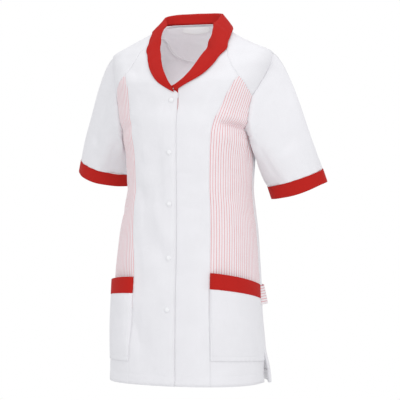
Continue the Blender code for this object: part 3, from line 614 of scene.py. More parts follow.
STITCH_LIFT = CLOTH / 2 - 0.0001
front_edges = {}
for side, word in ((1, "left"), (-1, "right")):
    over = 1 if side < 0 else -1
    rows = HEM_STEPS + SIDE_STEPS + ARMPIT_STEPS + YOKE_STEPS
    outer = join(seam(PRINCESS_SEAM[side][:3], HEM_STEPS, side),
                 seam(PRINCESS_SEAM[side][2:], SIDE_STEPS + ARMPIT_STEPS, side),
                 seam(YOKE_FRONT_SEAM[side], YOKE_STEPS, side))
    rise = np.linspace(0, 1, rows - EDGE_BEND_ROWS + 1)
    edge_height = HEM + EDGE_RISE * rise
    edge_run = np.stack((angle_at(over * (EDGE_AT_HEM - EDGE_NARROWS * rise), edge_height),
                         edge_height), axis=1)
    bend = [tuple(edge_run[-1])] + [(over * angle, height) for angle, height in EDGE_BEND]
    bend += [(side * angle, height) for angle, height in NECKLINE[side][:3]]
    inner = join(edge_run, seam(bend, EDGE_BEND_ROWS))
    top = seam(NECKLINE[side][2:7], FRONT_ACROSS, side)
    bottom = straight(inner[0], outer[0], FRONT_ACROSS)

    def lapped(angle, height):
        past = np.where(angle > 0, angle_at(LAP_BEGINS, height) - np.abs(angle), 1e3)
        return -LAP * ease(past / (angle_at(LAP_BEGINS, height) - angle_at(LAP_FULL, height)))
    sheet = panel(inner, outer, bottom, top, lapped if side > 0 else None)
    sheet = stitched(sheet, "left", FACING_DEPTH)
    sheet = stitched(sheet, "bottom", HEM_DEPTH)
    front_edges[side] = [line_in(sheet, "left", FACING_DEPTH, STITCH_LIFT),
                         line_in(sheet, "bottom", HEM_DEPTH, STITCH_LIFT)]
    sheet = seamed(sheet, "right", "top")
    sheet = hemmed(hemmed(sheet, "left", FACING_DEPTH), "bottom", HEM_DEPTH)
    front = cloth("front_" + word + "_cloth", sheet, WHITE_TWILL)
    declare(front, ["front_" + word], "white_twill", (0.20, 0.78), 0.112)
    sew("topstitching_front_" + word, front_edges[side], WHITE_THREAD)

# ------------------------------------------------------------------------------------------
# Shoulder yokes: the white pieces between the collar, the shoulder seam and the armhole.  Each
# is sewn to the two front panels below it and topstitched there and along the armhole.
# ------------------------------------------------------------------------------------------
YOKE_SIDE_SEAM = {
    1: ((50.5, -10.6), (56.9, -11.7), (62.8, -13.0), (71.5, -14.6)),
    -1: ((43.5, -9.9), (51.0, -11.1), (59.0, -12.5), (71.5, -14.6)),
}
SHOULDER_SEAM = ((88.0, -5.3), (76.5, -4.0), (71.0, -2.0), (73.0, -0.4), (84.0, 1.2))
ARMHOLE_HIGH = ((71.5, -14.6), (77.0, -12.9), (84.0, -10.4), (88.5, -7.7), (88.0, -5.3))
YOKE_STITCH = 0.0055
for side, word in ((1, "left"), (-1, "right")):
    lower = join(seam(YOKE_FRONT_SEAM[side], YOKE_STEPS, side)[::-1],
                 seam(YOKE_SIDE_SEAM[side], SIDE_FRONT_ACROSS, side))
    shoulder = seam(SHOULDER_SEAM, YOKE_STEPS + SIDE_FRONT_ACROSS, side)[::-1]
    neck = seam(NECKLINE[side][6:], SHOULDER_ACROSS, side)
    sheet = panel(neck, seam(ARMHOLE_HIGH, SHOULDER_ACROSS, side), lower, shoulder)
    seams = [line_in(sheet, edge, YOKE_STITCH, STITCH_LIFT) for edge in ("bottom", "right")]
    sheet = seamed(sheet, "left", "right", "bottom", "top")
    yoke = cloth("yoke_" + word + "_cloth", sheet, WHITE_TWILL)
    declare(yoke, ["yoke_" + word], "white_twill", (0.16, 0.20), 0.0162)
    sew("topstitching_yoke_" + word, seams, WHITE_THREAD)

# ------------------------------------------------------------------------------------------
# Side fronts: fine red stripes on white poplin.  They run with the princess seam and lean out
# over the bust, where the cloth turns towards the armhole.
# ------------------------------------------------------------------------------------------
SIDE_SEAM = ((90.0, HEM), (90.0, VENT_TOP), (90.0, POCKET_SEAM), (90.0, -40.0), (90.0, -23.1))
ARMHOLE_LOW = ((71.5, -14.6), (70.2, -17.0), (70.4, -19.6), (74.0, -21.7), (81.0, -22.8),
               (90.0, -23.1))
STRIPE_LINE = {
    1: ((29.4, POCKET_SEAM), (30.2, -50.0), (31.2, -43.0), (32.2, -36.0), (32.2, -28.0),
        (32.2, -23.0), (34.4, -19.6), (37.2, -16.6), (41.5, -12.6), (43.8, -10.6)),
    -1: ((27.2, POCKET_SEAM), (27.8, -50.0), (32.6, -43.0), (37.2, -36.0), (37.2, -28.0),
         (38.2, -23.0), (39.0, -19.6), (38.6, -16.6), (38.8, -12.6), (40.0, -9.9)),
}
FIRST_STRIPE = 0.0024         # how far in from the princess seam the first stripe runs
POPLIN_GROUND = (0.885, 0.815, 0.832)
RED_STRIPE = ((0.72, 0.10, 0.13), 0.0055, 0.0008)       # colour, pitch and width
STRIPED_POPLIN = woven("striped poplin", POPLIN_GROUND, RED_STRIPE, twill=False)
for side, word in ((1, "left"), (-1, "right")):
    line_rows = STRIPE_LINE[side]
    read_line = smooth_curve([row[1] for row in line_rows], [row[0] for row in line_rows])

    def stripe_line(height):
        return side * read_line(height)
    inner = seam(PRINCESS_SEAM[side][2:], SIDE_STEPS + ARMPIT_STEPS, side)
    outer = join(seam(SIDE_SEAM[2:], SIDE_STEPS, side),
                 seam(ARMHOLE_LOW, ARMPIT_STEPS, side)[::-1])
    bottom = straight(inner[0], outer[0], SIDE_FRONT_ACROSS)
    top = seam(YOKE_SIDE_SEAM[side], SIDE_FRONT_ACROSS, side)
    sheet = panel(inner, outer, bottom, top, thread_line=stripe_line)
    sheet[2][..., 0] -= side * FIRST_STRIPE
    sheet = seamed(sheet, "left", "right", "bottom", "top")
    side_front = cloth("side_front_" + word + "_cloth", sheet, STRIPED_POPLIN)
    declare(side_front, ["side_front_" + word], "striped_poplin", (0.18, 0.50), 0.0650)

# ------------------------------------------------------------------------------------------
# Lower side fronts: white twill behind the pockets, down to the hem.  Their outer edges are the
# front edges of the side vents, turned in and topstitched.
# ------------------------------------------------------------------------------------------
VENT_TURN = 0.010
# How deep they are tucked in behind the back, from where round, over how many degrees and cm.
TUCK, TUCK_FROM, TUCK_ACROSS, TUCK_UP = 0.003, 68, 22, 7
for side, word in ((1, "left"), (-1, "right")):
    inner = seam(PRINCESS_SEAM[side][:3], HEM_STEPS, side)
    outer = seam(SIDE_SEAM[:3], HEM_STEPS, side)
    hem = straight(inner[0], outer[0], SIDE_FRONT_ACROSS)
    top = straight(inner[-1], outer[-1], SIDE_FRONT_ACROSS)

    def tucked(angle, height):
        return (-TUCK * ease((np.abs(angle) - TUCK_FROM) / TUCK_ACROSS)
                * ease((VENT_TOP - height) / TUCK_UP))
    sheet = panel(inner, outer, hem, top, tucked)
    sheet = stitched(stitched(sheet, "right", VENT_TURN), "bottom", HEM_DEPTH)
    vent_path, vent_ways = line_in(sheet, "right", VENT_TURN, STITCH_LIFT)
    below = vent_path[:, 2] < VENT_TOP * CM
    seams = [(vent_path[below], vent_ways[below]),
             line_in(sheet, "bottom", HEM_DEPTH, STITCH_LIFT)]
    sheet = hemmed(seamed(sheet, "left", "right", "top"), "bottom", HEM_DEPTH)
    lower_side = cloth("lower_side_" + word + "_cloth", sheet, WHITE_TWILL)
    declare(lower_side, ["lower_side_" + word], "white_twill", (0.19, 0.18), 0.0305)
    sew("topstitching_lower_side_" + word, seams, WHITE_THREAD)

# ------------------------------------------------------------------------------------------
# Back: one wide white panel from side seam to side seam, up to both shoulder seams and the neck.
# It falls in soft folds to the waist and flares a little at the side vents.
# ------------------------------------------------------------------------------------------
BACK_ARMHOLE = ((90.0, -23.1), (99.0, -22.1), (106.0, -19.0), (108.5, -15.2), (106.5, -11.2),
                (100.5, -8.2), (92.0, -6.2), (88.0, -5.3))
BACK_ACROSS, NECK_BOW = 108, 0.25
# It stands out there, from so many degrees off the centre, over so many degrees and cm.
FLARE, FLARE_FROM, FLARE_ACROSS, FLARE_UP = 0.0105, 74, 16, 6
back_sides = []
for side in (1, -1):
    run = join(seam(SIDE_SEAM[:3], HEM_STEPS), seam(SIDE_SEAM[2:], SIDE_STEPS),
               seam(BACK_ARMHOLE, BACK_ARM_STEPS),
               seam(SHOULDER_SEAM, YOKE_STEPS + SIDE_FRONT_ACROSS))
    back_sides.append(np.stack((180 - side * (180 - run[:, 0]), run[:, 1]), axis=1))
back_hem = straight(back_sides[0][0], back_sides[1][0], BACK_ACROSS)
back_neck = straight(back_sides[0][-1], back_sides[1][-1], BACK_ACROSS)
back_neck[:, 1] += NECK_BOW * np.sin(np.linspace(0, math.pi, BACK_ACROSS + 1))


def flared(angle, height):
    """How far the back stands out beside the vents."""
    return (FLARE * ease((np.abs(angle - 180) - FLARE_FROM) / FLARE_ACROSS)
            * ease((VENT_TOP - height) / FLARE_UP))


sheet = panel(back_sides[0], back_sides[1], back_hem, back_neck, flared,
              lambda height: np.full_like(height, 180.0))
sheet = stitched(stitched(stitched(sheet, "left", VENT_TURN), "right", VENT_TURN),
                 "bottom", HEM_DEPTH)
seams = [line_in(sheet, "bottom", HEM_DEPTH, STITCH_LIFT)]
for edge in ("left", "right"):
    vent_path, vent_ways = line_in(sheet, edge, VENT_TURN, STITCH_LIFT)
    below = vent_path[:, 2] < VENT_TOP * CM
    seams.append((vent_path[below], vent_ways[below]))
sheet = hemmed(seamed(sheet, "left", "right", "top"), "bottom", HEM_DEPTH)
back = cloth("back_cloth", sheet, WHITE_TWILL)
declare(back, ["back"], "white_twill", (0.50, 0.82), 0.345)
sew("topstitching_back", seams, WHITE_THREAD)

# ------------------------------------------------------------------------------------------
# Sleeves: half sleeves of white twill, set into the armholes with a little ease.  Each hangs
# from the shoulder in long soft troughs to a tilted oval at the cuff.
# ------------------------------------------------------------------------------------------
CUFF_END = {1: (22.5, 6.0, -34.1), -1: (-21.85, 6.0, -31.2)}
ARMHOLE_MIDDLE = (16.5, 1.5, -13.0)
CUFF_HALF_WIDTH, CUFF_HALF_DEPTH, CUFF_DEPTH = 0.0615, 0.052, 0.028
SLEEVE_ROWS, YOKE_CORNER = 84, 68       # the yoke's corner stands at 68 degrees round it
SLEEVE_CUT = {1: ((0.42, 0.27), 0.068), -1: ((0.42, 0.245), 0.061)}
UNDERARM, UNDERARM_CLEAR = 140, {1: 0.005, -1: 0.0015}
# Which way the cloth leaves the armhole and arrives at the cuff, beside the arm's own line, and
# how strongly, as shares of its length.
LEAVES_OUT, LEAVES_IN, LEAVES_FORWARD, LEAVES_LEVEL = 0.35, 0.35, 0.9, 0.45
ARRIVES_OUT, ARRIVES_BACK, ARRIVES_PULL = 0.4, 0.2, 0.9
LEAVES_PULL, LEAVES_PULL_TOP = 0.55, 0.15
SET_IN, SET_IN_TOP = 0.0018, 0.0005     # the seam's own room at the armhole
SLEEVE_STITCH, SLEEVE_ROUND, SLEEVE_RUN = 0.006, 0.058, 0.21
# Long troughs: where round the sleeve (0 top, 90 front), from and to along it, spread, rise in cm.
SLEEVE_FOLDS = (
    (60, 0.10, 0.75, 20, -0.35), (120, 0.25, 1.0, 22, -0.30), (95, 0.45, 1.0, 15, 0.20),
    (285, 0.15, 0.80, 24, -0.35), (235, 0.30, 1.0, 20, -0.25),
)
# Creases that slant: round and along at each end, width in degrees, rise in cm.
SLEEVE_CREASES = (
    (150, 0.12, 108, 0.62, 7, -0.16), (168, 0.16, 128, 0.80, 8, -0.15),
    (176, 0.10, 90, 0.34, 8, -0.14), (100, 0.18, 66, 0.52, 7, -0.10),
    (52, 0.30, 74, 0.92, 8, -0.12), (30, 0.20, 40, 0.85, 9, -0.08),
    (14, 0.40, 10, 0.95, 9, 0.08), (112, 0.55, 104, 1.0, 6, -0.12),
    (192, 0.10, 262, 0.36, 8, -0.14), (204, 0.16, 246, 0.74, 8, -0.15),
    (226, 0.30, 214, 0.96, 8, -0.13), (268, 0.35, 290, 0.90, 8, -0.12),
    (318, 0.20, 306, 0.80, 9, -0.10), (340, 0.45, 330, 0.95, 9, 0.08),
)
# The cap is eased in: tiny puckers along the seam, and more of them at the cuff.  Their height
# in metres, how many go round, where the first stands in degrees, and how far they reach.
CAP_PUCKERS, CUFF_PUCKERS = (0.0004, 26, 0, 0.06), (0.0005, 17, 40, 0.07)


def arm_frame(side):
    """The sleeve's end: its middle, the arm's line, and the ways out and forward."""
    end = np.array(CUFF_END[side]) * CM
    start = np.array((side * ARMHOLE_MIDDLE[0], ARMHOLE_MIDDLE[1], ARMHOLE_MIDDLE[2])) * CM
    arm = unit(end - start)
    sideways = np.array((side, 0, 0.08))
    sideways = unit(sideways - arm * (sideways @ arm))
    forward = np.cross(sideways, arm) * side
    return start, end, arm, sideways, forward * (-1 if forward[1] > 0 else 1)


def cuff_ring(side, turn, along, swell=0.0):
    """Points round the cuff, this far up from its end."""
    _, end, arm, sideways, forward = arm_frame(side)
    cosine, sine = np.cos(np.radians(turn))[..., None], np.sin(np.radians(turn))[..., None]
    swell = np.asarray(swell)[..., None]
    return (end - arm * np.asarray(along)[..., None]
            + sideways * cosine * (CUFF_HALF_WIDTH + swell)
            + forward * sine * (CUFF_HALF_DEPTH + swell))


for side, word in ((1, "left"), (-1, "right")):
    ring = join(seam(ARMHOLE_LOW, ARMPIT_STEPS), seam(BACK_ARMHOLE, BACK_ARM_STEPS),
                seam(ARMHOLE_HIGH, SHOULDER_ACROSS)[::-1])
    index = np.arange(len(ring))
    to_top = ARMPIT_STEPS + BACK_ARM_STEPS
    turn = np.where(index <= ARMPIT_STEPS,
                    YOKE_CORNER + (180 - YOKE_CORNER) * index / ARMPIT_STEPS,
                    np.where(index <= to_top,
                             180 + 180 * (index - ARMPIT_STEPS) / BACK_ARM_STEPS,
                             360 + YOKE_CORNER * (index - to_top) / SHOULDER_ACROSS))
    root, _ = on_body(side * ring[:, 0], ring[:, 1])
    start, end, arm, sideways, forward = arm_frame(side)
    t = np.linspace(0, 1, SLEEVE_ROWS + 1)[:, None, None]
    cuff_top = cuff_ring(side, turn, np.full(len(ring), CUFF_DEPTH))
    reach = np.linalg.norm(cuff_top - root, axis=1)[:, None]
    topness = (0.5 + 0.5 * np.cos(np.radians(turn)))[:, None]
    # Below the armpit the cloth hangs forward, in front of the side seam, before it turns out.
    under = (np.maximum(np.cos(np.radians(turn - UNDERARM)), 0.0) ** 2)[:, None]
    leave = unit(arm * (1.0 - LEAVES_LEVEL * topness)
                 + sideways * (LEAVES_OUT + LEAVES_OUT * topness - LEAVES_IN * under)
                 + forward * LEAVES_FORWARD * under)
    leave = leave * reach * (LEAVES_PULL - LEAVES_PULL_TOP * topness)
    arrive = unit(arm + (sideways * ARRIVES_OUT - forward * ARRIVES_BACK) * under)
    arrive = arrive * reach * ARRIVES_PULL
    points = (root * (2 * t**3 - 3 * t**2 + 1) + leave * (t**3 - 2 * t**2 + t)
              + cuff_top * (3 * t**2 - 2 * t**3) + arrive * (t**3 - t**2))
    middle = start + t * (end - arm * CUFF_DEPTH - start)
    way_out = points - middle
    way_out = unit(way_out - (way_out @ arm)[..., None] * arm)
    along = t[..., 0]
    rise = unevenness(points, 11 + side, 0.0007) * ease(along / 0.1)
    for where, begin, finish, spread, height in SLEEVE_FOLDS:
        fade = ease((along - begin) / 0.15)
        if finish < 1:
            fade = fade * (1 - ease((along - finish + 0.1) / 0.1))
        around = ((turn - where + 180) % 360 - 180) / spread
        rise = rise + height * CM * fade * np.exp(-around ** 2)
    for turn_from, from_t, turn_to, to_t, spread, height in SLEEVE_CREASES:
        share = np.clip((along - from_t) / (to_t - from_t), 0, 1)
        where = turn_from + (turn_to - turn_from) * share
        around = ((turn - where + 180) % 360 - 180) / spread
        rise = rise + height * CM * (4 * share * (1 - share)) ** 0.6 * np.exp(-around ** 2)
    for from_seam, (height, count, first, length) in (
            (along, CAP_PUCKERS), (1 - along, CUFF_PUCKERS)):
        rise = rise + (height * np.sin(np.radians(turn * count + first))
                       * np.exp(-(from_seam / length) ** 2))
    clear = (sideways + forward * 0.4) * UNDERARM_CLEAR[side] * under * ease(t / 0.08) * (1 - t)
    points = points + way_out * rise[..., None] + clear
    set_in = (SET_IN - SET_IN_TOP * np.cos(np.radians(turn)))[:, None]
    points[0] += unit(points[1] - points[0]) * set_in
    threads = np.stack(np.broadcast_arrays(np.radians(turn) * SLEEVE_ROUND, along * SLEEVE_RUN),
                       axis=-1)
    sheet = [points, way_out, threads]
    seams = [line_in(sheet, "bottom", SLEEVE_STITCH, STITCH_LIFT)]
    sheet = seamed(sheet, "bottom", "top", gap=0.0004, deep=0.0035, pucker=0.0)
    sleeve = cloth("sleeve_" + word + "_cloth", sheet, WHITE_TWILL, ring=True)
    declare(sleeve, ["sleeve_" + word], "white_twill", *SLEEVE_CUT[side])
    sew("topstitching_sleeve_" + word, seams, WHITE_THREAD)

# ------------------------------------------------------------------------------------------
# Cuffs: red bands cut double the depth, folded along the lower edge and sewn to the sleeve.
# One row of red topstitching runs round each, close to the sleeve.
# ------------------------------------------------------------------------------------------
RED_TWILL = woven("red twill", (0.49, 0.016, 0.012), roughness=0.78, sheen=0.03, gloss=0.12)
RED_THREAD = woven("red thread", (0.42, 0.014, 0.010), weave=0.0003, sheen=0.03, gloss=0.12)
RED_SINK, RED_LIFT = 0.0003, 0.0003     # the groove of its topstitching, and the thread over it
CUFF_AROUND, CUFF_ROWS = 132, 14
CUFF_WALL, CUFF_ROUND, CUFF_STANDS, CUFF_STITCH = 0.0009, 0.057, 0.0008, 0.0035
CUFF_SEAM, CUFF_TURNED_SHORT, CUFF_LAYER = 0.0006, 0.004, 0.0012    # metres
CUFF_DIP = 0.0012, 3, 20      # the lower edge rises and dips: metres, times round, degrees
# The band isn't a true oval, above all at its end: metres, times round, where the first stands.
CUFF_SWAYS, CUFF_SWAY_FADES = ((0.0010, 2, 0.7), (0.0007, 5, 1.9), (0.0004, 9, 0.0)), 0.4
for side, word in ((1, "left"), (-1, "right")):
    _, _, arm, sideways, forward = arm_frame(side)
    turn = np.linspace(0, 360, CUFF_AROUND + 1)[None, :].repeat(CUFF_ROWS + 1, 0)
    along = np.linspace(0, CUFF_DEPTH - CUFF_SEAM, CUFF_ROWS + 1)[:, None].repeat(
        CUFF_AROUND + 1, 1)
    sway = sum(height * np.sin(count * np.radians(turn) + first)
               for height, count, first in CUFF_SWAYS) * (1 - CUFF_SWAY_FADES * along / CUFF_DEPTH)
    points = cuff_ring(side, turn, along, CUFF_STANDS + sway)
    height, count, first = CUFF_DIP
    dip = height * np.sin(np.radians(count * turn + first))
    points = points - arm * dip[..., None] * (1 - along / CUFF_DEPTH)[..., None]
    cosine, sine = np.cos(np.radians(turn))[..., None], np.sin(np.radians(turn))[..., None]
    way_out = unit(sideways * cosine + forward * sine)
    threads = np.stack((np.radians(turn) * CUFF_ROUND, along), axis=-1)
    sheet = stitched([points, way_out, threads], "top", CUFF_STITCH, RED_SINK)
    seams = [line_in(sheet, "top", CUFF_STITCH, RED_LIFT)]
    sheet = hemmed(seamed(sheet, "top", gap=0.0002, deep=0.0010, pucker=0.0),
                   "bottom", CUFF_DEPTH - CUFF_TURNED_SHORT, CUFF_LAYER)
    cuff = cloth("cuff_" + word + "_cloth", sheet, RED_TWILL, wall=CUFF_WALL, ring=True)
    declare(cuff, ["cuff_" + word], "red_twill", (0.375, 0.060), 0.0212,
            rests_on=["sleeve_" + word])
    sew("topstitching_cuff_" + word, seams, RED_THREAD)

# ------------------------------------------------------------------------------------------
# Shawl collar: one double piece of red twill.  It stands up off the neckline, folds over and
# lies on the shoulders and chest down to the V; its lower side is turned under and topstitched.
# ------------------------------------------------------------------------------------------
# Seam angle and height, fold angle, height and lift, edge angle, height and lift, per station.
COLLAR_BACK = (180.0, 1.5, 180.0, 4.05, 0.10, 180.0, 0.35, 2.4)
COLLAR = {
    1: ((150.0, 1.5, 150.0, 4.00, 0.15, 148.0, 0.30, 2.4),
        (116.0, 1.4, 115.0, 3.60, 0.10, 112.0, 0.10, 1.35),
        (84.0, 1.20, 88.0, 2.90, -0.10, 86.0, -0.45, 0.65),
        (62.0, 0.75, 64.8, 1.75, 0.38, 65.0, -1.30, 0.75),
        (45.0, -0.30, 44.4, 0.12, 0.50, 47.5, -2.65, 0.55),
        (33.0, -1.90, 32.3, -1.68, 0.46, 35.3, -4.30, 0.42),
        (25.5, -3.50, 21.8, -3.60, 0.46, 28.6, -6.20, 0.36),
        (20.0, -5.40, 16.6, -5.72, 0.46, 26.1, -7.75, 0.35),
        (17.2, -7.50, 14.3, -7.78, 0.57, 22.2, -9.69, 0.34),
        (14.8, -9.40, 11.6, -9.72, 0.52, 16.8, -11.09, 0.33),
        (11.2, -10.90, 7.9, -11.19, 0.40, 9.9, -12.23, 0.32),
        (6.6, -12.20, 4.1, -12.04, 0.32, 5.4, -13.05, 0.32),
        (4.2, -12.75, 2.3, -12.43, 0.31, 3.9, -13.37, 0.31),
        (2.0, -13.00, 0.2, -12.77, 0.26, 2.2, -13.66, 0.26)),
    -1: ((150.0, 1.5, 150.0, 4.00, 0.15, 148.0, 0.30, 2.2),
         (116.0, 1.4, 114.0, 3.50, 0.15, 118.0, 0.20, 1.1),
         (84.0, 1.20, 86.0, 2.80, 0.15, 86.0, -0.02, 0.45),
         (62.0, 0.75, 62.0, 1.70, 0.30, 51.0, -0.95, 0.42),
         (44.0, -0.30, 41.5, 0.20, 0.42, 36.6, -2.30, 0.40),
         (30.5, -1.90, 27.0, -1.55, 0.40, 27.2, -4.00, 0.36),
         (22.5, -3.50, 18.4, -3.20, 0.38, 22.6, -5.60, 0.34),
         (17.0, -5.40, 13.1, -5.10, 0.36, 20.5, -7.10, 0.34),
         (14.4, -7.50, 10.2, -7.22, 0.35, 17.7, -9.08, 0.34),
         (11.6, -9.40, 7.4, -9.21, 0.34, 13.8, -10.53, 0.33),
         (8.2, -10.90, 4.0, -10.80, 0.33, 9.1, -11.83, 0.32),
         (5.0, -12.20, 1.4, -11.91, 0.36, 3.9, -12.90, 0.36),
         (-0.8, -13.35, -0.6, -12.76, 0.42, -1.5, -13.96, 0.40)),
}
COLLAR_STEPS, STAND_STEPS, FALL_STEPS = 84, 12, 26
FOLD_TURN, FOLD_TURN_SHARE = 0.0022, 0.32       # half the gap inside the fold, at most
STAND_STARTS, FALL_ROLLS = 0.0027, 0.0012
COLLAR_STITCH, COLLAR_STITCH_LIFT, COLLAR_HEM, COLLAR_LAYER = 0.0055, 0.0005, 0.010, 0.0011


def collar_half(side):
    """Sections from the centre back to the V, each up the stand, over the fold and down."""
    table = np.array((COLLAR_BACK,) + COLLAR[side])
    run = lengths_along(bare_body(side * table[:, 5], table[:, 6]))
    at = np.linspace(0, run[-1], COLLAR_STEPS + 1)
    (seam_angle, seam_height, fold_angle, fold_height, fold_lift,
     edge_angle, edge_height, edge_lift) = (smooth_curve(run, column)(at) for column in table.T)
    base, _ = on_body(side * seam_angle, seam_height, -0.0004)
    fold, _ = on_body(side * fold_angle, fold_height, fold_lift * CM)
    edge, _ = on_body(side * edge_angle, edge_height, edge_lift * CM)
    fall = unit(edge - fold)
    stand = fold - base
    lift = unit(stand - fall * (stand * fall).sum(axis=1, keepdims=True))
    turn = np.minimum(FOLD_TURN, np.linalg.norm(stand, axis=1) * FOLD_TURN_SHARE)[:, None]
    base = base + unit(stand) * STAND_STARTS
    inner_top = fold - fall * turn * 0.2 - lift * turn * 1.6
    crest = fold + fall * turn * 0.9 + lift * turn * 0.1
    outer_top = fold + fall * turn * 2.6 - lift * turn * 0.5
    # The fall rolls: full below the fold, a shallow hollow, and an edge that lifts a little.
    roll = lift * FALL_ROLLS
    knots = np.stack((base, base * 0.5 + inner_top * 0.5, inner_top, fold, crest, outer_top,
                      outer_top * 0.67 + edge * 0.33 + roll * 1.1,
                      outer_top * 0.33 + edge * 0.67 + roll * 0.7, edge), axis=1)
    sections = []
    for section in knots:
        steps = lengths_along(section)
        places = np.concatenate((np.linspace(0, steps[2], STAND_STEPS // 2 + 1)[:-1],
                                 np.linspace(steps[2], steps[5], STAND_STEPS + 1)[:-1],
                                 np.linspace(steps[5], steps[8], FALL_STEPS + 1)))
        sections.append(np.stack(
            [smooth_curve(steps, section[:, k])(places) for k in range(3)], axis=1))
    return np.array(sections)


left_half, right_half = collar_half(1), collar_half(-1)
points = np.concatenate((right_half[::-1], left_half[1:]))
across = np.gradient(points, axis=1)
along = np.gradient(points, axis=0)
way_out = unit(np.cross(across, along))
if (way_out[len(points) // 2, -3] @ np.array((0.0, 1.0, 0.0))) < 0:
    way_out = -way_out
ripple = unevenness(points, 23, 0.0008) * ease(np.arange(points.shape[1]) / points.shape[1])[None]
points = points + way_out * ripple[..., None]
threads = np.stack((lengths_along(points[:, -1])[:, None].repeat(points.shape[1], 1),
                    np.array([lengths_along(section) for section in points])), axis=-1)
sheet = stitched([points, way_out, threads], "right", COLLAR_STITCH, RED_SINK)
seams = [line_in(sheet, "right", COLLAR_STITCH, COLLAR_STITCH_LIFT)]
sheet = hemmed(sheet, "right", COLLAR_HEM, COLLAR_LAYER)
collar = cloth("collar_cloth", sheet, RED_TWILL)
declare(collar, ["collar"], "red_twill", (0.60, 0.12), 0.045, held="folded",
        rests_on=["back", "front_left", "front_right", "yoke_left", "yoke_right"])
sew("topstitching_collar", seams, RED_THREAD)

# A narrow strip of red twill lies behind the right front and shows as a red rim past its edge.
RIM_TOP, RIM_END, RIM_SHOWS, RIM_WIDTH = -13.3, -19.5, 0.22, 1.0
RIM_ROWS, RIM_FADES, RIM_TUCKED, RIM_BEHIND, RIM_WALL = 29, 3.0, 0.06, 0.0012, 0.0006
heights = np.linspace(RIM_END, RIM_TOP, RIM_ROWS + 1)[:, None]
edge_half = EDGE_AT_HEM - EDGE_NARROWS * (heights - HEM) / EDGE_RISE
shows = RIM_SHOWS * ease((heights - RIM_END) / RIM_FADES) - RIM_TUCKED
half = edge_half + shows - RIM_WIDTH * np.linspace(0, 1, 5)[None, :]
heights = heights + 0 * half
points, way_out = on_body(angle_at(half, heights), heights, -RIM_BEHIND)
rim = cloth("front_edge_rim", [points, way_out, np.stack((half * CM, heights * CM), axis=-1)],
            RED_TWILL, wall=RIM_WALL)
declare(rim, [], "red_twill", (0.0102, 0.060), None, rests_on=["front_right"])

# ------------------------------------------------------------------------------------------
# Neck facing: white twill inside the back neck, deepest at the centre, stitched along its
# lower edge.  A plain half-moon label of satin tape is sewn to it under the collar.
# ------------------------------------------------------------------------------------------
# Its lower edge: degrees from the centre back, and height.
FACING_EDGE = ((0, -6.25), (7, -6.0), (14.5, -5.2), (24.5, -3.5), (37, -1.7), (52, -0.9),
               (72, -0.65), (95.5, -0.7))
FACING_ROWS, FACING_ACROSS = 44, 96
FACING_FROM, FACING_ROUND = 84.5, 191
FACING_TOP, FACING_BOW, FACING_STITCH, FACING_WALL = 0.95, 0.25, 0.005, 0.0008
FACING_BEHIND, FACING_NEARER = 0.0036, 0.0014   # it hangs behind the back, nearer at its top
step = np.linspace(0, 1, FACING_ACROSS + 1)[None, :]
row = np.linspace(0, 1, FACING_ROWS + 1)[:, None]
middle = np.sin(math.pi * step)
low = smooth_curve(*zip(*FACING_EDGE))(np.abs(FACING_ROUND / 2 - FACING_ROUND * step))
high = FACING_TOP + FACING_BOW * middle
height = low + (high - low) * row
points, way_out = on_body(FACING_FROM + FACING_ROUND * step + 0 * row, height,
                          -FACING_BEHIND + FACING_NEARER * row ** 3)
threads = np.stack(np.broadcast_arrays(0.26 * step, height * CM), axis=-1)
sheet = stitched([points, way_out, threads], "bottom", FACING_STITCH)
inside_path, inside_ways = line_in(sheet, "bottom", FACING_STITCH, -STITCH_LIFT)
sheet = seamed(sheet, "bottom", gap=0.0, deep=-0.0006, pucker=0.0)
facing = cloth("back_neck_facing_cloth", sheet, WHITE_TWILL, wall=FACING_WALL)
declare(facing, ["back_neck_facing"], "white_twill", (0.27, 0.078), 0.0118, rests_on=["back"])
sew("topstitching_facing", [(inside_path, -inside_ways)], WHITE_THREAD)

LABEL_SATIN = woven("label satin", (0.88, 0.885, 0.89), twill=False, weave=0.0002, roughness=0.42)
LABEL_ROWS, LABEL_ACROSS = 14, 44
LABEL_TOP, LABEL_DROP, LABEL_ENDS, LABEL_HALF = 1.05, 1.15, 0.12, 28    # cm, and degrees
LABEL_BEHIND, LABEL_HALF_WIDTH, LABEL_WALL = 0.0048, 0.036, 0.0006
step = np.linspace(-1, 1, LABEL_ACROSS + 1)[None, :]
row = np.linspace(0, 1, LABEL_ROWS + 1)[:, None]
drop = LABEL_DROP * np.sqrt(np.maximum(1 - step ** 2, 0)) + LABEL_ENDS
height = LABEL_TOP - drop * (1 - row)
points, way_out = on_body(180 + LABEL_HALF * step + 0 * row, height, -LABEL_BEHIND)
threads = np.stack((LABEL_HALF_WIDTH * step + 0 * row, height * CM), axis=-1)
label = cloth("neck_label_cloth", [points, way_out, threads], LABEL_SATIN, wall=LABEL_WALL)
declare(label, ["neck_label"], "label_tape", (0.072, 0.0185), 0.0011,
        rests_on=["back_neck_facing"])

# ------------------------------------------------------------------------------------------
# Pockets: deep patch pockets of white twill over the side fronts, stitched round three sides.
# Each mouth gapes a little and is bound with a slanting band of red twill.
# ------------------------------------------------------------------------------------------
POCKET_HEIGHTS = {1: (-51.2, -54.4, -69.0), -1: (-52.2, -55.5, -69.6)}
POCKET_FAR = ((89.4, -53.9), (89.4, -56.7), (89.0, -69.7))
POCKET_BELLY, POCKET_STANDS, POCKET_FROM_SEAM, POCKET_SLANT = 0.0088, 0.0017, 0.4, 1.25
POCKET_ACROSS, POCKET_ROWS, BAND_ROWS = 54, 48, 14
POCKET_HEM_STITCH, POCKET_SIDE_STITCH, BAND_STITCH = 0.0095, 0.0045, 0.0030
BAND_STANDS, BAND_TURNED, BAND_LAYER, BAND_WALL = 0.0005, 0.022, 0.0011, 0.0009


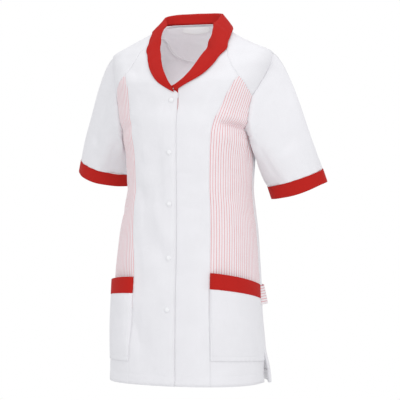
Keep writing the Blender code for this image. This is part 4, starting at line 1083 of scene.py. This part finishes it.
def pocket_places(start, end, part, rise, side):
    """A row of pocket places from the princess seam to the side seam, for each part of it."""
    u = np.linspace(0, 1, POCKET_ACROSS + 1)[None, :]
    first = start[0] + POCKET_FROM_SEAM
    angle = first + (end[0] - start[0] - POCKET_FROM_SEAM) * u
    height = start[1] + (end[1] - start[1]) * u ** POCKET_SLANT
    gape = POCKET_BELLY * np.sin(math.pi * u ** 0.45) ** 0.8 * (1 - part ** 1.6)
    points, way_out = on_body(side * angle, height, POCKET_STANDS + gape + rise)
    threads = np.stack((girth(side * angle, height) - girth(side * first + 0 * height, height),
                        height * CM), axis=-1)
    return [points, way_out, threads]


def down_side(corners, part):
    """Angle and height on the way down one side, from the first corner to the second."""
    return [corners[0][k] + (corners[1][k] - corners[0][k]) * part for k in (0, 1)]


for side, word in ((1, "left"), (-1, "right")):
    rows = PRINCESS_SEAM[side]
    seam_angle = smooth_curve([height for _, height in rows], [angle for angle, _ in rows])
    near = [(float(seam_angle(height)), height) for height in POCKET_HEIGHTS[side]]
    part = np.linspace(1, 0, POCKET_ROWS + 1)[:, None]
    sheet = pocket_places(down_side(near[1:], part), down_side(POCKET_FAR[1:], part),
                          part, 0.0, side)
    hem_row = ("bottom", POCKET_HEM_STITCH)
    side_rows = (("left", POCKET_SIDE_STITCH), ("right", POCKET_SIDE_STITCH))
    for edge, inset in (*side_rows, hem_row):
        sheet = stitched(sheet, edge, inset)
    seams = [line_in(sheet, edge, inset, STITCH_LIFT) for edge, inset in (hem_row, *side_rows)]
    sheet = seamed(sheet, "left", "right", "bottom", gap=0.0003, deep=0.0003, pucker=0.0002)
    sheet = seamed(sheet, "top", gap=0.0003, deep=0.001, pucker=0.0)
    pocket = cloth("pocket_" + word + "_cloth", sheet, WHITE_TWILL)
    declare(pocket, ["pocket_" + word], "white_twill", (0.17, 0.16), 0.0230,
            rests_on=["side_front_" + word, "lower_side_" + word])
    sew("topstitching_pocket_" + word, seams, WHITE_THREAD)
    part = np.linspace(1, 0, BAND_ROWS + 1)[:, None]
    sheet = pocket_places(down_side(near, part), down_side(POCKET_FAR, part),
                          0.0 * part, BAND_STANDS, side)
    sheet = stitched(sheet, "bottom", BAND_STITCH, RED_SINK)
    seams = [line_in(sheet, "bottom", BAND_STITCH, RED_LIFT)]
    sheet = seamed(sheet, "left", "right", "bottom", gap=0.0002, deep=0.0004, pucker=0.0)
    sheet = hemmed(sheet, "top", BAND_TURNED, BAND_LAYER)
    band = cloth("pocket_band_" + word + "_cloth", sheet, RED_TWILL, wall=BAND_WALL)
    declare(band, ["pocket_band_" + word], "red_twill", (0.165, 0.08), 0.0095,
            rests_on=["pocket_" + word])
    sew("topstitching_band_" + word, seams, RED_THREAD)

# ------------------------------------------------------------------------------------------
# Half belt: striped poplin folded double, its stripes running round.  It is sewn into both side
# seams and stands off the back a little along its lower edge.
# ------------------------------------------------------------------------------------------
BELT_TOP, BELT_DEPTH = -54.2, 3.8
BELT_ACROSS, BELT_ROWS = 150, 16
BELT_FROM, BELT_ROUND, BELT_CLOSES = 91.5, 177.0, 0.06
BELT_LIES, BELT_STANDS, BELT_HANGS = 0.0017, 0.0012, 0.0062     # off the back: ends, top, below
BELT_STITCH, BELT_STITCH_LIFT = 0.004, 0.0004
BELT_TURNED, BELT_LAYER, BELT_WALL = 0.015, 0.0011, 0.0009
BELT_POPLIN = woven("striped poplin, cut across", POPLIN_GROUND, RED_STRIPE, across=False,
                    twill=False)
step = np.linspace(0, 1, BELT_ACROSS + 1)[None, :]
down = np.linspace(1, 0, BELT_ROWS + 1)[:, None]
stand = ease(np.minimum(step, 1 - step) / BELT_CLOSES)
height = BELT_TOP - BELT_DEPTH * down + 0 * step
angle = BELT_FROM + BELT_ROUND * step + 0 * down
points, way_out = on_body(angle, height, BELT_LIES + stand * (BELT_STANDS + BELT_HANGS * down))
threads = np.stack((girth(angle, height), -down * BELT_DEPTH * CM + 0 * step), axis=-1)
sheet = [points, way_out, threads]
for edge in ("bottom", "top"):
    sheet = stitched(sheet, edge, BELT_STITCH, RED_SINK)
seams = [line_in(sheet, edge, BELT_STITCH, BELT_STITCH_LIFT) for edge in ("bottom", "top")]
for edge in ("bottom", "top"):
    sheet = hemmed(sheet, edge, BELT_TURNED, BELT_LAYER)
sheet = seamed(sheet, "left", "right", gap=0.0003, deep=0.001, pucker=0.0)
belt = cloth("back_belt_cloth", sheet, BELT_POPLIN, wall=BELT_WALL)
declare(belt, ["back_belt"], "striped_poplin", (0.44, 0.085), 0.0350, rests_on=["back"])
sew("topstitching_belt", seams, WHITE_THREAD)

# ------------------------------------------------------------------------------------------
# Snaps: five white domed caps of glossy resin down the front edge, each pressed through the
# cloth, with a fine rolled rim round the dome.
# ------------------------------------------------------------------------------------------
SNAP_HEIGHTS = (-15.6, -26.4, -37.0, -48.1, -58.7)
SNAP_RADIUS, SNAP_RISE = 0.0056, 0.0030
SNAP_SEAT = CLOTH / 2 + 0.0002
# From the crown down to the rim: shares of the radius and of the rise.
DOME = ((0.0, 1.0), (0.20, 0.985), (0.40, 0.93), (0.58, 0.83), (0.72, 0.70), (0.82, 0.55),
        (0.88, 0.42), (0.91, 0.34), (0.955, 0.32), (0.99, 0.25), (1.0, 0.15), (0.99, 0.04),
        (0.93, 0.0))
resin = bpy.data.materials.new("snap resin")
resin.use_nodes = True
shader = resin.node_tree.nodes["Principled BSDF"]
shader.inputs["Roughness"].default_value = 0.22
shader.inputs["Coat Weight"].default_value = 0.35
shader.inputs["Coat Roughness"].default_value = 0.12
place = resin.node_tree.nodes.new("ShaderNodeTexCoord")
speck = resin.node_tree.nodes.new("ShaderNodeTexNoise")
speck.inputs["Scale"].default_value = 260.0
tint = resin.node_tree.nodes.new("ShaderNodeMix")
tint.data_type = "RGBA"
tint.inputs[MIX_LOW].default_value = (0.80, 0.80, 0.82, 1.0)
tint.inputs[MIX_HIGH].default_value = (0.87, 0.87, 0.88, 1.0)
resin.node_tree.links.new(place.outputs["Object"], speck.inputs["Vector"])
resin.node_tree.links.new(speck.outputs["Fac"], tint.inputs[MIX_FACTOR])
resin.node_tree.links.new(tint.outputs[MIX_RESULT], shader.inputs["Base Color"])
for number, height in enumerate(SNAP_HEIGHTS, start=1):
    work = bmesh.new()
    profile = [work.verts.new((radius * SNAP_RADIUS, 0, rise * SNAP_RISE)) for radius, rise in DOME]
    edges = [work.edges.new(pair) for pair in zip(profile[:-1], profile[1:])]
    bmesh.ops.spin(work, geom=profile + edges, cent=(0, 0, 0), axis=(0, 0, 1), angle=math.tau,
                   steps=48, use_merge=True)
    bmesh.ops.remove_doubles(work, verts=work.verts, dist=0.00001)
    bmesh.ops.holes_fill(work, edges=[edge for edge in work.edges if edge.is_boundary])
    bmesh.ops.recalc_face_normals(work, faces=work.faces)
    seat, way = on_body(np.asarray(0.0), np.asarray(height), SNAP_SEAT)
    aside = unit(np.cross((0.0, 0.0, 1.0), way))
    turn = np.eye(4)
    turn[:3, 0], turn[:3, 1], turn[:3, 2], turn[:3, 3] = aside, np.cross(way, aside), way, seat
    bmesh.ops.transform(work, matrix=Matrix(turn), verts=work.verts)
    mesh = bpy.data.meshes.new(f"snap_cap_{number}")
    work.to_mesh(mesh)
    work.free()
    mesh.shade_smooth()
    mesh.materials.append(resin)
    cap = bpy.data.objects.new(f"snap_{number}", mesh)
    bpy.context.scene.collection.objects.link(cap)
    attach(cap, "root")
    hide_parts(f"snap_cap_{number}")

# ------------------------------------------------------------------------------------------
# Studio: a pale floor where the wearer would stand, soft white light that is stronger from the
# camera's right, and the camera level with the waist, 20 degrees to the wearer's left.
# ------------------------------------------------------------------------------------------
FLOOR, FLOOR_RADIUS = -1.40, 2.4
work = bmesh.new()
bmesh.ops.create_circle(work, cap_ends=True, segments=96, radius=FLOOR_RADIUS)
bmesh.ops.translate(work, vec=(0, 0, FLOOR), verts=work.verts)
mesh = bpy.data.meshes.new("floor")
work.to_mesh(mesh)
work.free()
floor_paint = bpy.data.materials.new("floor paint")
floor_paint.use_nodes = True
shader = floor_paint.node_tree.nodes["Principled BSDF"]
shader.inputs["Base Color"].default_value = (0.88, 0.88, 0.88, 1)
shader.inputs["Roughness"].default_value = 0.9
mesh.materials.append(floor_paint)
floor = bpy.data.objects.new("floor", mesh)
bpy.context.scene.collection.objects.link(floor)


def aimed(thing, place, target):
    """Put a light or the camera at a place and point it at another."""
    thing.location = place
    way = Matrix.Translation(target).translation - thing.location
    thing.rotation_euler = way.to_track_quat("-Z", "Y").to_euler()
    bpy.context.scene.collection.objects.link(thing)


def soft_box(name, place, size, watts, colour=(1.0, 1.0, 1.0), target=(0.0, 0.0, -0.35)):
    """A square lamp that lights the tunic and isn't seen itself."""
    lamp = bpy.data.lights.new(name, "AREA")
    lamp.size, lamp.energy, lamp.color = size, watts, colour
    box = bpy.data.objects.new(name, lamp)
    box.visible_camera = False
    aimed(box, place, target)


soft_box("key, camera right", (2.6, -1.9, 0.5), 1.6, 24.5, (1.0, 0.99, 0.985))
soft_box("inside the neck", (0.02, 0.01, -0.19), 0.12, 0.13, (1.0, 0.94, 0.95), (0.0, 0.10, -0.03))
soft_box("fill, camera left", (-1.7, -2.9, 0.2), 2.2, 17.5)
soft_box("top", (0.1, 0.1, 2.2), 1.8, 12.0)
soft_box("high front", (0.4, -1.2, 1.9), 0.8, 5.0)
soft_box("back", (-0.8, 2.6, 0.6), 1.8, 14.0)

world = bpy.data.worlds.new("white studio")
world.use_nodes = True
sky = world.node_tree
background = sky.nodes["Background"]
seen = sky.nodes.new("ShaderNodeBackground")
seen.inputs["Strength"].default_value = 1.0
seen.inputs["Color"].default_value = (1.0, 1.0, 1.0, 1.0)
background.inputs["Color"].default_value = (0.97, 0.98, 1.0, 1.0)
background.inputs["Strength"].default_value = 0.73
rays = sky.nodes.new("ShaderNodeLightPath")
either = sky.nodes.new("ShaderNodeMixShader")
sky.links.new(rays.outputs["Is Camera Ray"], either.inputs["Fac"])
sky.links.new(background.outputs["Background"], either.inputs[1])
sky.links.new(seen.outputs["Background"], either.inputs[2])
sky.links.new(either.outputs["Shader"], sky.nodes["World Output"].inputs["Surface"])
bpy.context.scene.world = world
bpy.context.scene.view_settings.view_transform = "Standard"
bpy.context.scene.view_settings.look = "None"

AZIMUTH, CAMERA_DISTANCE, CAMERA_ASIDE, CAMERA_HEIGHT = math.radians(20), 3.2, 0.0223, -0.362
camera_data = bpy.data.cameras.new("camera")
camera_data.lens, camera_data.sensor_width = 135.4, 36.0
view_side = (math.cos(AZIMUTH) * CAMERA_ASIDE, math.sin(AZIMUTH) * CAMERA_ASIDE)
camera = bpy.data.objects.new("camera", camera_data)
aimed(camera, (view_side[0] + math.sin(AZIMUTH) * CAMERA_DISTANCE,
               view_side[1] - math.cos(AZIMUTH) * CAMERA_DISTANCE, CAMERA_HEIGHT),
      (view_side[0], view_side[1], CAMERA_HEIGHT))
bpy.context.scene.camera = camera
